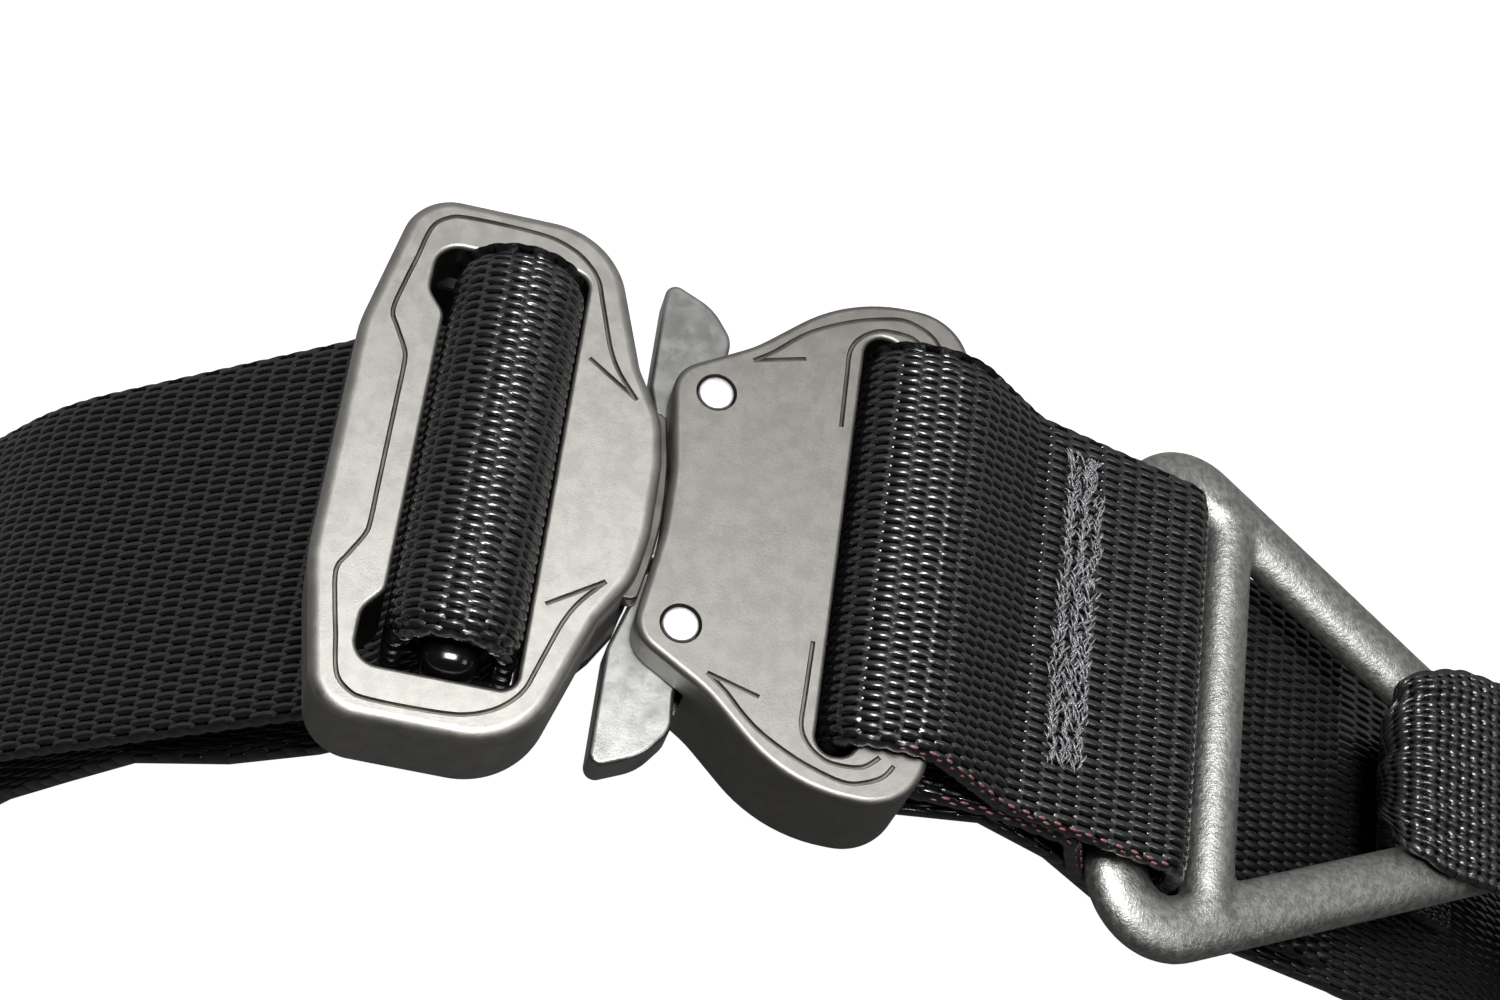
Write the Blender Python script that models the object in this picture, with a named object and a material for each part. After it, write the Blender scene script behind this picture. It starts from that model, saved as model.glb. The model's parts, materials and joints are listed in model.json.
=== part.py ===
"""A trouser belt: two-part quick-release buckle, webbing link, V-ring with its keeper, and the waist loop.

Everything is laid out in the buckle's own frame: x along the belt, y across it and z out of the
buckle's face, with the origin between the two rivets on that face. Sizes are in millimetres, and
MM turns them into metres where a mesh is made. At the end one empty turns the whole belt so that
it stands on the edge of its webbing, resting on the V-ring, the buckle and the back of the loop.
"""

import math

import bmesh
import bpy
from mathutils import Matrix, Vector

MM = 0.001
GAP = 0.3                      # clear space left between neighbouring pieces
ARC_STEP = math.radians(15)    # longest turn between two points of a rounded corner
ARC_STEP_LOOP = math.radians(6)

# Webbing
WEB_HALF = 22.75
WEB_HALF_ON_BAR = 21.8         # the belt is squeezed a little where it turns round the adjuster bar
WEB_THICK = 2.1
SQUEEZE_Z = (-14.0, -10.0)     # heights between which the squeeze comes in
BACKING_HALF = 20.0
TAPE_THICK = 1.8

# Buckle plates, all measured down from the face at z = 0
MALE_DEPTH = 12.0
FEMALE_DEPTH = 14.0
PLATE_DEPTH = 4.3              # front plate of the female half, over the lever slot
LEVER_TOP = -4.6
LEVER_BACK = -9.4
FACE_ROUND = 1.3               # rounding of the frames' outer edge at the face
RIM_ROUND = 0.8                # rounding of the windows' edge
LEVER_ROUND = 0.5

# Lever hinges
RIVET_Y = 13.25
RIVET_RADIUS = 1.85
HOOK_RADIUS = 10.0             # the hooks' faces are arcs about the rivets
HOOK_START = 8.6
TONGUE_HALF = 4.7
HEAD_HALF = 6.2
HEAD_END = 12.0

# Windows for the webbing
WINDOW_HALF = 23.9
MALE_WINDOW = (-29.0, -14.8)
FEMALE_SLOT = (14.8, 19.0)
FEMALE_BAR_BACK = -7.6
FEMALE_RIGHT = 26.3

# Adjuster bar: deeper than it is wide, with a cheek and a flat tenon at each end
BAR_X = -21.7
BAR_RADIUS = 4.0
BAR_Z = (-2.6, -0.95)          # middles of its lower and upper rounds
BAR_HALF = 22.6
CHEEK_LEVELS = ((-3.0, 0.0), (-11.5, 0.0))
CHEEK_OUTLINE = (
    (-30.2, 22.2, 0.0),
    (-30.2, 22.4, 0.0),
    (-29.2, 23.4, 0.0),
    (-16.3, 23.4, 0.0),
    (-15.2, 22.5, 0.0),
    (-15.2, 22.2, 0.0),
)
TENON_HALF = 25.6
TENON_Z = (-4.6, -2.0)
TENON_WIDE = 5.0

# V-ring: its own plane drops away to the right; s runs along that plane from the crossbar
RING_PLACE = (63.2, -23.0)
RING_DROP = math.radians(14.7)
RING_SECTION = (6.7, 3.9)
RING_OUTLINE = (               # s, y, radius of the line that the section follows
    (-11.2, -30.4, 5.4),
    (-11.2, 30.4, 5.4),
    (50.5, 0.0, 6.5),
)
CROSSBAR_RADIUS = 2.4
CROSSBAR_HALF = 23.6

# Half outlines of the buckle's plates: x, y, corner radius, from the left round to the right
MALE_OUTLINE = (
    (-37.2, 13.3, 14.0),
    (-33.9, 29.4, 5.5),
    (-13.0, 29.4, 9.0),
    (-8.55, 14.2, 5.0),
    (-4.9, 8.4, 6.0),
)
MALE_WINDOW_OUTLINE = (
    (MALE_WINDOW[0], 15.9, 2.0),
    (-30.9, 18.3, 2.5),
    (-30.9, WINDOW_HALF, 2.6),
    (MALE_WINDOW[1], WINDOW_HALF, 1.8),
)
FEMALE_OUTLINE = (
    (-3.15, 3.5, 12.0),
    (-4.75, 15.1, 3.8),
    (3.4, 19.9, 15.0),
    (12.6, 28.3, 17.0),
    (FEMALE_RIGHT, 28.3, 6.3),
)
FEMALE_SLOT_OUTLINE = (
    (FEMALE_SLOT[0], WINDOW_HALF, 2.0),
    (FEMALE_SLOT[1], WINDOW_HALF, 2.0),
)
LEVER_CAVITY = (
    (-9.0, 34.0, 1.0),
    (1.8, 34.0, 1.0),
    (1.8, 18.4, 1.0),
    (5.2, 16.8, 2.0),
    (12.4, 14.0, 2.0),
)
# One lever, x and y from the buckle's middle, corner radius, clockwise from the wing's tip
LEVER_OUTLINE = (
    (-6.5, 28.4, 1.2),
    (-1.2, 26.0, 6.0),
    (1.3, 22.6, 3.0),
    (0.9, 18.0, 2.0),
    (4.0, 15.2, 3.0),
    (8.4, 9.2, 0.0),
)
LEVER_INNER = (
    (0.0, 5.1, 3.0),
    (-4.3, 6.2, 0.8),
    (-5.1, 10.3, 1.5),
    (-6.5, 15.2, 2.0),
)

# Routes of the webbing's middle line in plan: x, z, bend radius
LINK_ROUTE = (
    (16.45, 1.95, 4.4),
    (26.0, 1.95, 8.0),
    (35.8, -7.75, 6.0),
    (57.9, -16.1, 4.0),
    (57.9, -25.2, 3.7),
    (48.2, -23.1, 2.6),
    (45.0, -13.6, 2.4),
    (35.5, -10.0, 6.0),
    (30.0, -9.3, 8.0),
    (16.45, -9.3, 4.2),
)
BELT_ROUTE = (
    (11.5, -15.4, 0.0),
    (27.0, -15.4, 20.0),
    (33.0, -12.7, 6.0),
    (38.5, -13.6, 6.0),
    (43.1, -15.4, 3.0),
    (46.5, -24.85, 4.0),
    (84.0, -41.8, 60.0),
    (140.0, -74.0, 90.0),
    (143.0, -190.0, 380.0),
    (138.0, -370.0, 118.0),
    (-108.0, -370.0, 112.0),
    (-116.0, -190.0, 380.0),
    (-100.0, -100.0, 90.0),
    (-70.0, -52.1, 60.0),
    (-27.25, -13.0, 4.0),
    (-27.25, 4.6, 5.54),
    (-16.15, 4.6, 5.54),
    (-16.15, -9.5, 5.0),
    (-38.5, -36.0, 8.0),
    (-50.5, -40.0, 10.0),
    (-66.5, -61.5, 40.0),
    (-97.0, -122.0, 0.0),
)
BACKING_ROUTE = (
    (61.5, -28.9, 0.0),
    (82.0, -38.1, 0.0),
)
# The keeper tape, squeezed where it turns over between the V-ring's legs
KEEPER_ROUTE = (
    (101.0, -49.2, 0.0),
    (84.6, -39.7, 2.0),
    (84.6, -25.5, 2.0),
    (92.0, -27.2, 12.0),
    (108.5, -31.7, 8.0),
    (118.0, -40.0, 14.0),
    (127.0, -52.0, 25.0),
    (135.0, -72.0, 40.0),
    (139.0, -92.0, 0.0),
)
KEEPER_HALF = 12.6
KEEPER_SQUEEZED = 9.7
KEEPER_FOLD_X = 84.6
KEEPER_OPENS_OVER = 6.0
KEEPER_BASE_Z = -36.0          # the keeper's lower layer lies below this height


def clear_scene():
    for thing in list(bpy.data.objects):
        bpy.data.objects.remove(thing, do_unlink=True)


def finish(name, colour, roughness, metallic):
    material = bpy.data.materials.new(name)
    material.use_nodes = True
    shader = material.node_tree.nodes["Principled BSDF"]
    shader.inputs["Base Color"].default_value = (*colour, 1.0)
    shader.inputs["Roughness"].default_value = roughness
    shader.inputs["Metallic"].default_value = metallic
    return material


def rounded(rows, closed=True, step=ARC_STEP):
    """Points along straight runs whose corners, rows of (u, v, radius), are rounded by arcs."""
    points = []
    count = len(rows)
    for number, (u, v, radius) in enumerate(rows):
        corner = Vector((u, v))
        at_end = not closed and number in (0, count - 1)
        if at_end or radius == 0:
            points.append(corner)
            continue
        before = Vector(rows[number - 1][:2]) - corner
        after = Vector(rows[(number + 1) % count][:2]) - corner
        before.normalize()
        after.normalize()
        turn = math.pi - before.angle(after)
        reach = radius * math.tan(turn / 2)
        start = corner + before * reach
        centre = start + (after - before * after.dot(before)).normalized() * radius
        stops = max(1, math.ceil(turn / step))
        side = 1 if before.x * after.y - before.y * after.x < 0 else -1
        arm = start - centre
        for stop in range(stops + 1):
            angle = side * turn * stop / stops
            points.append(centre + Matrix.Rotation(angle, 2) @ arm)
    return points


def both_halves(rows):
    """A closed outline from the rows of its upper half, which run from left to right."""
    return list(rows) + [(x, -y, radius) for x, y, radius in reversed(rows)]


def inset(points, amount):
    """A closed clockwise outline moved inwards by an amount, each point along its own normal."""
    moved = []
    for number, point in enumerate(points):
        before = (point - points[number - 1]).normalized()
        after = (points[(number + 1) % len(points)] - point).normalized()
        along = (before + after).normalized()
        inward = Vector((along.y, -along.x))
        moved.append(point + inward * (amount / max(0.3, along.dot(before))))
    return moved


def new_object(name, mesh_data, material, parent):
    mesh = bpy.data.meshes.new(name)
    mesh_data.to_mesh(mesh)
    mesh_data.free()
    thing = bpy.data.objects.new(name, mesh)
    bpy.context.scene.collection.objects.link(thing)
    if material:
        mesh.materials.append(material)
        mesh.shade_smooth()
        mesh.set_sharp_from_angle(angle=math.radians(35))
    thing.parent = parent
    return thing


def rings_to_mesh(rings, closed=False):
    """A closed body through rings of points, capped at both ends or joined end to end."""
    shape = bmesh.new()
    loops = [[shape.verts.new(Vector(point) * MM) for point in ring] for ring in rings]
    pairs = list(zip(loops, loops[1:]))
    if closed:
        pairs.append((loops[-1], loops[0]))
    for first, second in pairs:
        for number in range(len(first)):
            following = (number + 1) % len(first)
            shape.faces.new((first[number], first[following], second[following], second[number]))
    if not closed:
        shape.faces.new(reversed(loops[0]))
        shape.faces.new(loops[-1])
    bmesh.ops.recalc_face_normals(shape, faces=shape.faces)
    return shape


def plate(name, outline, levels, material, parent, shift=(0.0, 0.0)):
    """A flat piece: its outline at each level, a pair of depth and inset."""
    rings = []
    for depth, amount in levels:
        ring = inset(outline, amount) if amount else outline
        rings.append([(point.x - shift[0], point.y - shift[1], depth) for point in ring])
    return new_object(name, rings_to_mesh(rings), material, parent)


def combine(target, other, operation):
    other.hide_render = True
    other.display_type = "WIRE"
    change = target.modifiers.new(operation.lower() + " " + other.name, "BOOLEAN")
    change.operation = operation
    change.solver = "EXACT"
    change.object = other


def frame_levels(depth):
    """Levels of a frame: a soft edge at the face, straight walls and a small edge at the back."""
    return (
        (0.0, FACE_ROUND),
        (-0.38 * FACE_ROUND, 0.38 * FACE_ROUND),
        (-FACE_ROUND, 0.0),
        (FACE_ROUND - depth, 0.0),
        (-depth, FACE_ROUND),
    )


def window_levels(depth):
    """Levels of a window's cutter: it flares where it meets each face of a frame."""
    return (
        (RIM_ROUND, -2 * RIM_ROUND),
        (-RIM_ROUND, 0.0),
        (RIM_ROUND - depth, 0.0),
        (-RIM_ROUND - depth, -2 * RIM_ROUND),
    )


def block(name, low, high, parent):
    """A plain box used as a cutter."""
    corners = ((low[0], low[1]), (low[0], high[1]), (high[0], high[1]), (high[0], low[1]))
    rings = [[(x, y, z) for x, y in corners] for z in (high[2], low[2])]
    return new_object(name, rings_to_mesh(rings), None, parent)


def peg(name, place, radius, back, front, material, parent, sides=24):
    """A round peg along z."""
    circle = [2 * math.pi * number / sides for number in range(sides)]
    rings = [
        [(place[0] + radius * math.cos(a), place[1] + radius * math.sin(a), z) for a in circle]
        for z in (back, front)
    ]
    return new_object(name, rings_to_mesh(rings), material, parent)


def band(name, route, thick, half_width, material, parent, closed=False):
    """Webbing along a plan route; half_width gives the half width at a point of it."""
    rings = []
    count = len(route)
    for number, point in enumerate(route):
        ahead = route[(number + 1) % count] if closed or number < count - 1 else point
        behind = route[number - 1] if closed or number > 0 else point
        into = (point - behind).normalized()
        out = (ahead - point).normalized()
        along = (into + out).normalized()
        stretch = along.dot(out if out.length else into)
        side = Vector((-along.y, along.x)) * (thick / 2 / max(0.5, stretch))
        near = point + side
        far = point - side
        half = half_width(point)
        front = [(near.x, half, near.y), (near.x, -half, near.y)]
        back = [(far.x, -half, far.y), (far.x, half, far.y)]
        rings.append(front + back)
    return new_object(name, rings_to_mesh(rings, closed), material, parent)


def male_frame(material, parent):
    """The adjustable half: a frame with a window for the bar, and the T-shaped tongue."""
    outline = rounded(both_halves(MALE_OUTLINE))
    frame = plate("male_frame", outline, frame_levels(MALE_DEPTH), material, parent)
    window = rounded(both_halves(MALE_WINDOW_OUTLINE))
    combine(frame, plate("male_window", window, window_levels(MALE_DEPTH), None, parent), "DIFFERENCE")
    for side in (-1, 1):
        socket = block(
            "socket_%d" % side,
            (BAR_X - TENON_WIDE / 2 - GAP, min(side * 20.0, side * (TENON_HALF + GAP)), TENON_Z[0] - GAP),
            (BAR_X + TENON_WIDE / 2 + GAP, max(side * 20.0, side * (TENON_HALF + GAP)), TENON_Z[1] + GAP),
            parent,
        )
        combine(frame, socket, "DIFFERENCE")
    combine(frame, plate("tongue", tongue_outline(), flat_levels(), None, parent), "UNION")
    return frame


def arc_rows(radius, start, end):
    """Rows along an arc about the rivet at +RIVET_Y, from one height y down to another."""
    first = math.asin((RIVET_Y - start) / radius)
    last = math.asin((RIVET_Y - end) / radius)
    steps = 4
    angles = [first + (last - first) * number / steps for number in range(steps + 1)]
    return [(radius * math.cos(angle), RIVET_Y - radius * math.sin(angle), 0.0) for angle in angles]


def tongue_outline():
    """Neck and head of the tongue; the head's shoulders are arcs about the rivets."""
    shoulder = sorted(arc_rows(HOOK_RADIUS + GAP, HEAD_HALF, TONGUE_HALF), key=lambda row: row[1])
    half = [
        (-10.0, TONGUE_HALF, 0.0),
        *shoulder,
        (HEAD_END - 2.0, HEAD_HALF, 0.0),
        (HEAD_END, HEAD_HALF - 2.0, 0.0),
    ]
    return rounded(both_halves(half))


def flat_levels():
    return (
        (LEVER_TOP, LEVER_ROUND),
        (LEVER_TOP - LEVER_ROUND, 0.0),
        (LEVER_BACK + LEVER_ROUND, 0.0),
        (LEVER_BACK, LEVER_ROUND),
    )


def female_frame(material, parent):
    """The fixed half: two plates over the levers, side walls, and the bar that the link goes round."""
    outline = rounded(both_halves(FEMALE_OUTLINE))
    frame = plate("female_frame", outline, frame_levels(FEMALE_DEPTH), material, parent)
    slot = rounded(both_halves(FEMALE_SLOT_OUTLINE))
    combine(frame, plate("female_slot", slot, window_levels(FEMALE_DEPTH), None, parent), "DIFFERENCE")
    under_bar = block(
        "under_bar",
        (FEMALE_SLOT[0] + 2.0, -WINDOW_HALF, -FEMALE_DEPTH - 1.0),
        (FEMALE_RIGHT + 1.0, WINDOW_HALF, FEMALE_BAR_BACK),
        parent,
    )
    combine(frame, under_bar, "DIFFERENCE")
    cavity_levels = ((-PLATE_DEPTH, 0.0), (PLATE_DEPTH - FEMALE_DEPTH, 0.0))
    cavity = plate("lever_cavity", rounded(both_halves(LEVER_CAVITY)), cavity_levels, None, parent)
    combine(frame, cavity, "DIFFERENCE")
    for side in (-1, 1):
        hole = peg(
            "rivet_hole_%d" % side, (0.0, side * RIVET_Y), RIVET_RADIUS + GAP,
            -FEMALE_DEPTH - 1.0, 1.0, None, parent,
        )
        combine(frame, hole, "DIFFERENCE")
    return frame


def lever(name, side, material, parent):
    """A release lever: the wing outside, the hub on its rivet and the hook that holds the tongue."""
    hook = arc_rows(HOOK_RADIUS, HOOK_START, TONGUE_HALF + GAP)
    outline = rounded([*LEVER_OUTLINE, *hook, *LEVER_INNER])
    if side < 0:
        outline = [Vector((point.x, -point.y)) for point in reversed(outline)]
    thing = plate(name, outline, flat_levels(), material, parent, shift=(0.0, side * RIVET_Y))
    thing.location = (0.0, side * RIVET_Y * MM, 0.0)
    place = (0.0, side * RIVET_Y)
    bore = peg("bore_" + name, place, RIVET_RADIUS + GAP, LEVER_BACK - 1.0, LEVER_TOP + 1.0, None, parent)
    combine(thing, bore, "DIFFERENCE")
    return thing


def adjuster_bar(material, parent):
    """The bar that the webbing turns round, with a flat tenon into each side of its frame."""
    ring = []
    steps = 8
    for middle, start in ((BAR_Z[1], 0.0), (BAR_Z[0], math.pi)):
        for number in range(steps + 1):
            angle = start + math.pi * number / steps
            ring.append((BAR_X + BAR_RADIUS * math.cos(angle), middle + BAR_RADIUS * math.sin(angle)))
    rings = [[(x, y, z) for x, z in ring] for y in (-BAR_HALF, BAR_HALF)]
    bar = new_object("adjuster_bar", rings_to_mesh(rings), material, parent)
    tenon = block(
        "tenon",
        (BAR_X - TENON_WIDE / 2, -TENON_HALF, TENON_Z[0]),
        (BAR_X + TENON_WIDE / 2, TENON_HALF, TENON_Z[1]),
        parent,
    )
    combine(bar, tenon, "UNION")
    for side in (-1, 1):
        rows = CHEEK_OUTLINE if side > 0 else [(x, -y, radius) for x, y, radius in reversed(CHEEK_OUTLINE)]
        cheek = plate("cheek_%d" % side, rounded(rows), CHEEK_LEVELS, None, parent)
        combine(bar, cheek, "UNION")
    return bar


def ring_point(s, y, n):
    """A point of the V-ring: s along its plane, y across the belt and n out of its plane."""
    x = RING_PLACE[0] + s * math.cos(RING_DROP) + n * math.sin(RING_DROP)
    z = RING_PLACE[1] - s * math.sin(RING_DROP) + n * math.cos(RING_DROP)
    return (x, y, z)


def v_ring(material, parent):
    """A forged V-ring: wide bar, two legs that meet in a rounded apex, and a round crossbar."""
    line = rounded(RING_OUTLINE)
    sides = 12
    wide, deep = RING_SECTION
    rings = []
    for number, point in enumerate(line):
        before = (point - line[number - 1]).normalized()
        after = (line[(number + 1) % len(line)] - point).normalized()
        along = (before + after).normalized()
        outward = Vector((-along.y, along.x)) / max(0.5, along.dot(after))
        ring = []
        for corner in range(sides):
            angle = 2 * math.pi * corner / sides
            off = math.copysign(abs(math.cos(angle)) ** 0.8, math.cos(angle)) * wide / 2
            up = math.copysign(abs(math.sin(angle)) ** 0.8, math.sin(angle)) * deep / 2
            ring.append(ring_point(point.x + outward.x * off, point.y + outward.y * off, up))
        rings.append(ring)
    ring_body = new_object("v_ring", rings_to_mesh(rings, closed=True), material, parent)
    circle = [2 * math.pi * number / sides for number in range(sides)]
    bar_rings = [
        [ring_point(CROSSBAR_RADIUS * math.cos(a), y, CROSSBAR_RADIUS * math.sin(a)) for a in circle]
        for y in (-CROSSBAR_HALF, CROSSBAR_HALF)
    ]
    combine(ring_body, new_object("crossbar", rings_to_mesh(bar_rings), None, parent), "UNION")
    return ring_body


def keeper_half(point):
    """Half width of the keeper tape: squeezed up to its turn between the legs, full further right."""
    if point.x <= KEEPER_ROUTE[0][0] and point.y <= KEEPER_BASE_Z:
        return KEEPER_SQUEEZED
    opened = min(1.0, max(0.0, (point.x - KEEPER_FOLD_X) / KEEPER_OPENS_OVER))
    return KEEPER_SQUEEZED + (KEEPER_HALF - KEEPER_SQUEEZED) * opened


def belt_half(point):
    """Half width of the belt: a little less inside the window of the adjustable half."""
    start, end = SQUEEZE_Z
    squeezed = min(1.0, max(0.0, (point.y - start) / (end - start)))
    return WEB_HALF + (WEB_HALF_ON_BAR - WEB_HALF) * squeezed


def split_long(points, longest):
    """The same line with extra points, so that no step is longer than a given length."""
    fine = [points[0]]
    for point in points[1:]:
        start = fine[-1]
        pieces = math.ceil((point - start).length / longest)
        fine += [start.lerp(point, number / pieces) for number in range(1, pieces + 1)]
    return fine


def support_points(things, down):
    """The point of each thing that reaches furthest towards the floor."""
    return [max(points, key=lambda point: point.dot(down)) for points in things]


def stand_on_floor(stand, pieces, feet):
    """Turns the belt so that its three lowest pieces touch the floor, the buckle's face towards -Y."""
    bpy.context.view_layer.update()
    graph = bpy.context.evaluated_depsgraph_get()

    def points_of(thing):
        solid = thing.evaluated_get(graph)
        mesh = solid.to_mesh()
        return [solid.matrix_world @ vertex.co for vertex in mesh.vertices]

    foot_points = [points_of(thing) for thing in feet]
    down = Vector((0.0, 1.0, 0.0))
    rounds = 6
    for _ in range(rounds):
        first, second, third = support_points(foot_points, down)
        down = (second - first).cross(third - first).normalized()
        if down.y < 0:
            down.negate()
    up = -down
    front = Vector((0.0, 0.0, 1.0))
    front = (front - down * front.dot(down)).normalized()
    across = (-front).cross(up)
    turn = Matrix((across, -front, up)).to_4x4()
    turned = [turn @ point for thing in pieces for point in points_of(thing)]
    low = Vector([min(point[axis] for point in turned) for axis in range(3)])
    high = Vector([max(point[axis] for point in turned) for axis in range(3)])
    middle = (low + high) / 2
    stand.matrix_world = Matrix.Translation((-middle.x, -middle.y, -low.z)) @ turn


def build():
    clear_scene()
    stand = bpy.data.objects.new("stand", None)
    bpy.context.scene.collection.objects.link(stand)

    satin_grey = finish("satin grey metal", (0.36, 0.34, 0.32), 0.45, 0.9)
    zinc = finish("zinc plated steel", (0.62, 0.62, 0.58), 0.35, 1.0)
    polished = finish("polished rivet", (0.85, 0.85, 0.84), 0.2, 1.0)
    forged = finish("forged steel", (0.3, 0.3, 0.29), 0.42, 0.9)
    black_bar = finish("black bar", (0.02, 0.02, 0.02), 0.3, 0.3)
    nylon = finish("black webbing", (0.025, 0.025, 0.027), 0.6, 0.0)
    tape = finish("black tape", (0.035, 0.035, 0.035), 0.75, 0.0)

    male = male_frame(satin_grey, stand)
    female = female_frame(satin_grey, stand)
    bar = adjuster_bar(black_bar, stand)
    levers = [lever("lever_bottom", 1, zinc, stand), lever("lever_top", -1, zinc, stand)]
    rivets = [
        peg(name, (0.0, side * RIVET_Y), RIVET_RADIUS, -FEMALE_DEPTH, 0.0, polished, stand)
        for name, side in (("rivet_bottom", 1), ("rivet_top", -1))
    ]
    ring = v_ring(forged, stand)
    link_line = rounded(LINK_ROUTE)
    link = band("link_webbing", link_line, WEB_THICK, lambda point: WEB_HALF, nylon, stand, closed=True)
    belt_line = rounded(BELT_ROUTE, closed=False, step=ARC_STEP_LOOP)
    belt = band("belt_webbing", belt_line, WEB_THICK, belt_half, nylon, stand)
    backing_line = rounded(BACKING_ROUTE, closed=False)
    backing = band("ring_backing", backing_line, WEB_THICK, lambda point: BACKING_HALF, nylon, stand)
    keeper_line = split_long(rounded(KEEPER_ROUTE, closed=False), 6.0)
    keeper = band("ring_keeper", keeper_line, TAPE_THICK, keeper_half, tape, stand)

    pieces = [male, female, bar, *levers, *rivets, ring, link, belt, backing, keeper]
    stand_on_floor(stand, pieces, feet=(ring, male, belt))


build()
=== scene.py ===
"""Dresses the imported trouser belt: buckle halves, levers, V-ring, woven webbing, tape, stitches, camera and light.

Shapes are laid out in the buckle's own frame, in millimetres: x along the belt, y across it and z out of
the buckle's face, with the origin between the rivets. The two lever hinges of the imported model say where
that frame lies.
"""

import json
import math
import random
from collections import namedtuple

import bmesh
import bpy
import numpy as np
from mathutils import Matrix, Vector


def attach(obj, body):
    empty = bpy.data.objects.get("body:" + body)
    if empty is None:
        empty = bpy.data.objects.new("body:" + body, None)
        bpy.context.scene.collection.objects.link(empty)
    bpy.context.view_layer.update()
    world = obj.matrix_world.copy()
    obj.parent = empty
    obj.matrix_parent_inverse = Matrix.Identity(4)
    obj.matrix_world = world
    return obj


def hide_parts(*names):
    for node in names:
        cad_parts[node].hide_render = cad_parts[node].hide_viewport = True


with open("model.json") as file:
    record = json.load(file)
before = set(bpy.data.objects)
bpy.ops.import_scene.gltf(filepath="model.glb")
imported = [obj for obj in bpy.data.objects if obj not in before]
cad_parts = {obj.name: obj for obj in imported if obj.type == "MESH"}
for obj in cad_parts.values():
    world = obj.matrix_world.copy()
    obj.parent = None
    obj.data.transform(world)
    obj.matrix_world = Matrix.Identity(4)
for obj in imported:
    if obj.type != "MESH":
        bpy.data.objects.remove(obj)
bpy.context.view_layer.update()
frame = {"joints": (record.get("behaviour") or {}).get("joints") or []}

MM = 0.001
FINE_ARC = math.radians(4)
ROUTE_ARC = math.radians(3)
CUT = "DIFFERENCE"
JOIN = "UNION"

# Buckle
HINGE_DEPTH = 7.0
MALE_DEPTH = 12.0
FEMALE_DEPTH = 14.0
PLATE_DEPTH = 4.3
LEVER_TOP = -4.6
LEVER_BACK = -9.4
FACE_ROUND = 1.3
FEMALE_ROUND = 0.75
RIM_ROUND = 0.45
# How much deeper and further in the cutter of a rim ends
RIM_END = (0.4, 0.05)
LEVER_ROUND = 0.5
GAP = 0.3
RIVET_Y = 13.25
RIVET_RADIUS = 1.85
BORE_RADIUS = RIVET_RADIUS + GAP
TURNED_SIDES = 48
HOOK_RADIUS = 10.0
HOOK_START = 8.6
TONGUE_HALF = 4.7
HEAD_HALF = 6.2
HEAD_END = 12.0
HEAD_BEVEL = 2.0
TONGUE_START = -10.0
FEMALE_BAR_BACK = -7.6
WINDOW_HALF = 23.9
# Left, right, reach, low and high
TENON_BOX = (-24.5, -18.9, 25.9, -4.9, -1.7)
TENON_START = 20.0
SLOT_BAR_START = 2.0

MALE_OUTLINE = (
    (-37.2, 13.3, 14.0), (-33.9, 29.7, 5.5), (-13.0, 29.7, 9.0), (-8.1, 14.5, 5.0), (-5.0, 9.0, 8.0),
    (-4.25, 4.0, 16.0),
)
MALE_LIP = (
    (-7.0, 10.7, 0.0), (-5.1, 10.7, 0.0), (-4.45, 10.3, 0.0), (-3.62, 5.5, 8.0), (-3.3, 1.5, 12.0),
)
MALE_LIP_TOP = -2.2
MALE_LIP_BACK = -4.35
MALE_LIP_ROUND = 0.25
MALE_SHELF = (
    (-11.0, 6.5), (-11.0, 17.0), (-9.7, 17.0), (-7.6, 14.4), (-5.6, 11.0), (-5.0, 8.2), (-6.0, 6.5),
)
MALE_SHELF_TOP = -9.9
MALE_WINDOW = (
    (-29.0, 15.9, 2.0), (-30.9, 18.3, 2.5), (-30.9, WINDOW_HALF, 2.6), (-14.8, WINDOW_HALF, 1.8),
)
FEMALE_OUTLINE = (
    (-3.15, 3.5, 12.0), (-4.75, 15.1, 3.8), (3.4, 19.9, 15.0), (12.6, 28.3, 17.0), (26.3, 28.3, 6.3),
)
FEMALE_SLOT = ((14.8, WINDOW_HALF, 2.0), (19.0, WINDOW_HALF, 2.0))
LEVER_CAVITY = (
    (-9.0, 34.0, 1.0), (1.8, 34.0, 1.0), (1.8, 18.4, 1.0), (5.2, 16.8, 2.0), (12.4, 14.0, 2.0),
)
LEVER_OUTLINE = (
    (-6.5, 28.4, 1.2), (-1.2, 26.0, 6.0), (1.3, 22.6, 3.0), (0.9, 18.0, 2.0), (4.0, 15.2, 3.0), (8.4, 9.2, 0.0),
)
LEVER_INNER = ((0.0, 5.1, 3.0), (-4.3, 6.2, 0.8), (-5.1, 10.3, 1.5), (-6.5, 15.2, 2.0))
MALE_GROOVE = (
    (-8.0, 10.4), (-10.2, 13.1), (-11.5, 15.6), (-12.5, 18.7), (-13.3, 21.3), (-14.0, 23.4),
    (-15.2, 25.0), (-16.9, 26.3), (-19.2, 27.2), (-21.7, 27.5), (-25.4, 27.6), (-29.0, 27.5),
    (-30.4, 27.1), (-31.7, 26.0), (-32.3, 24.4), (-32.8, 21.7), (-33.5, 18.5), (-34.1, 14.9),
    (-33.3, 13.0), (-32.1, 10.6), (-31.85, 9.0), (-31.85, 4.5),
)
MALE_BARB = ((-13.5, 14.1), (-8.0, 10.4))
FEMALE_GROOVE = (
    (3.3, 17.9), (5.4, 19.5), (7.3, 21.4), (9.3, 23.0), (12.0, 24.5), (14.6, 25.6), (18.0, 26.5),
    (20.0, 26.2), (21.9, 25.2), (22.9, 23.8),
)
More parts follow.
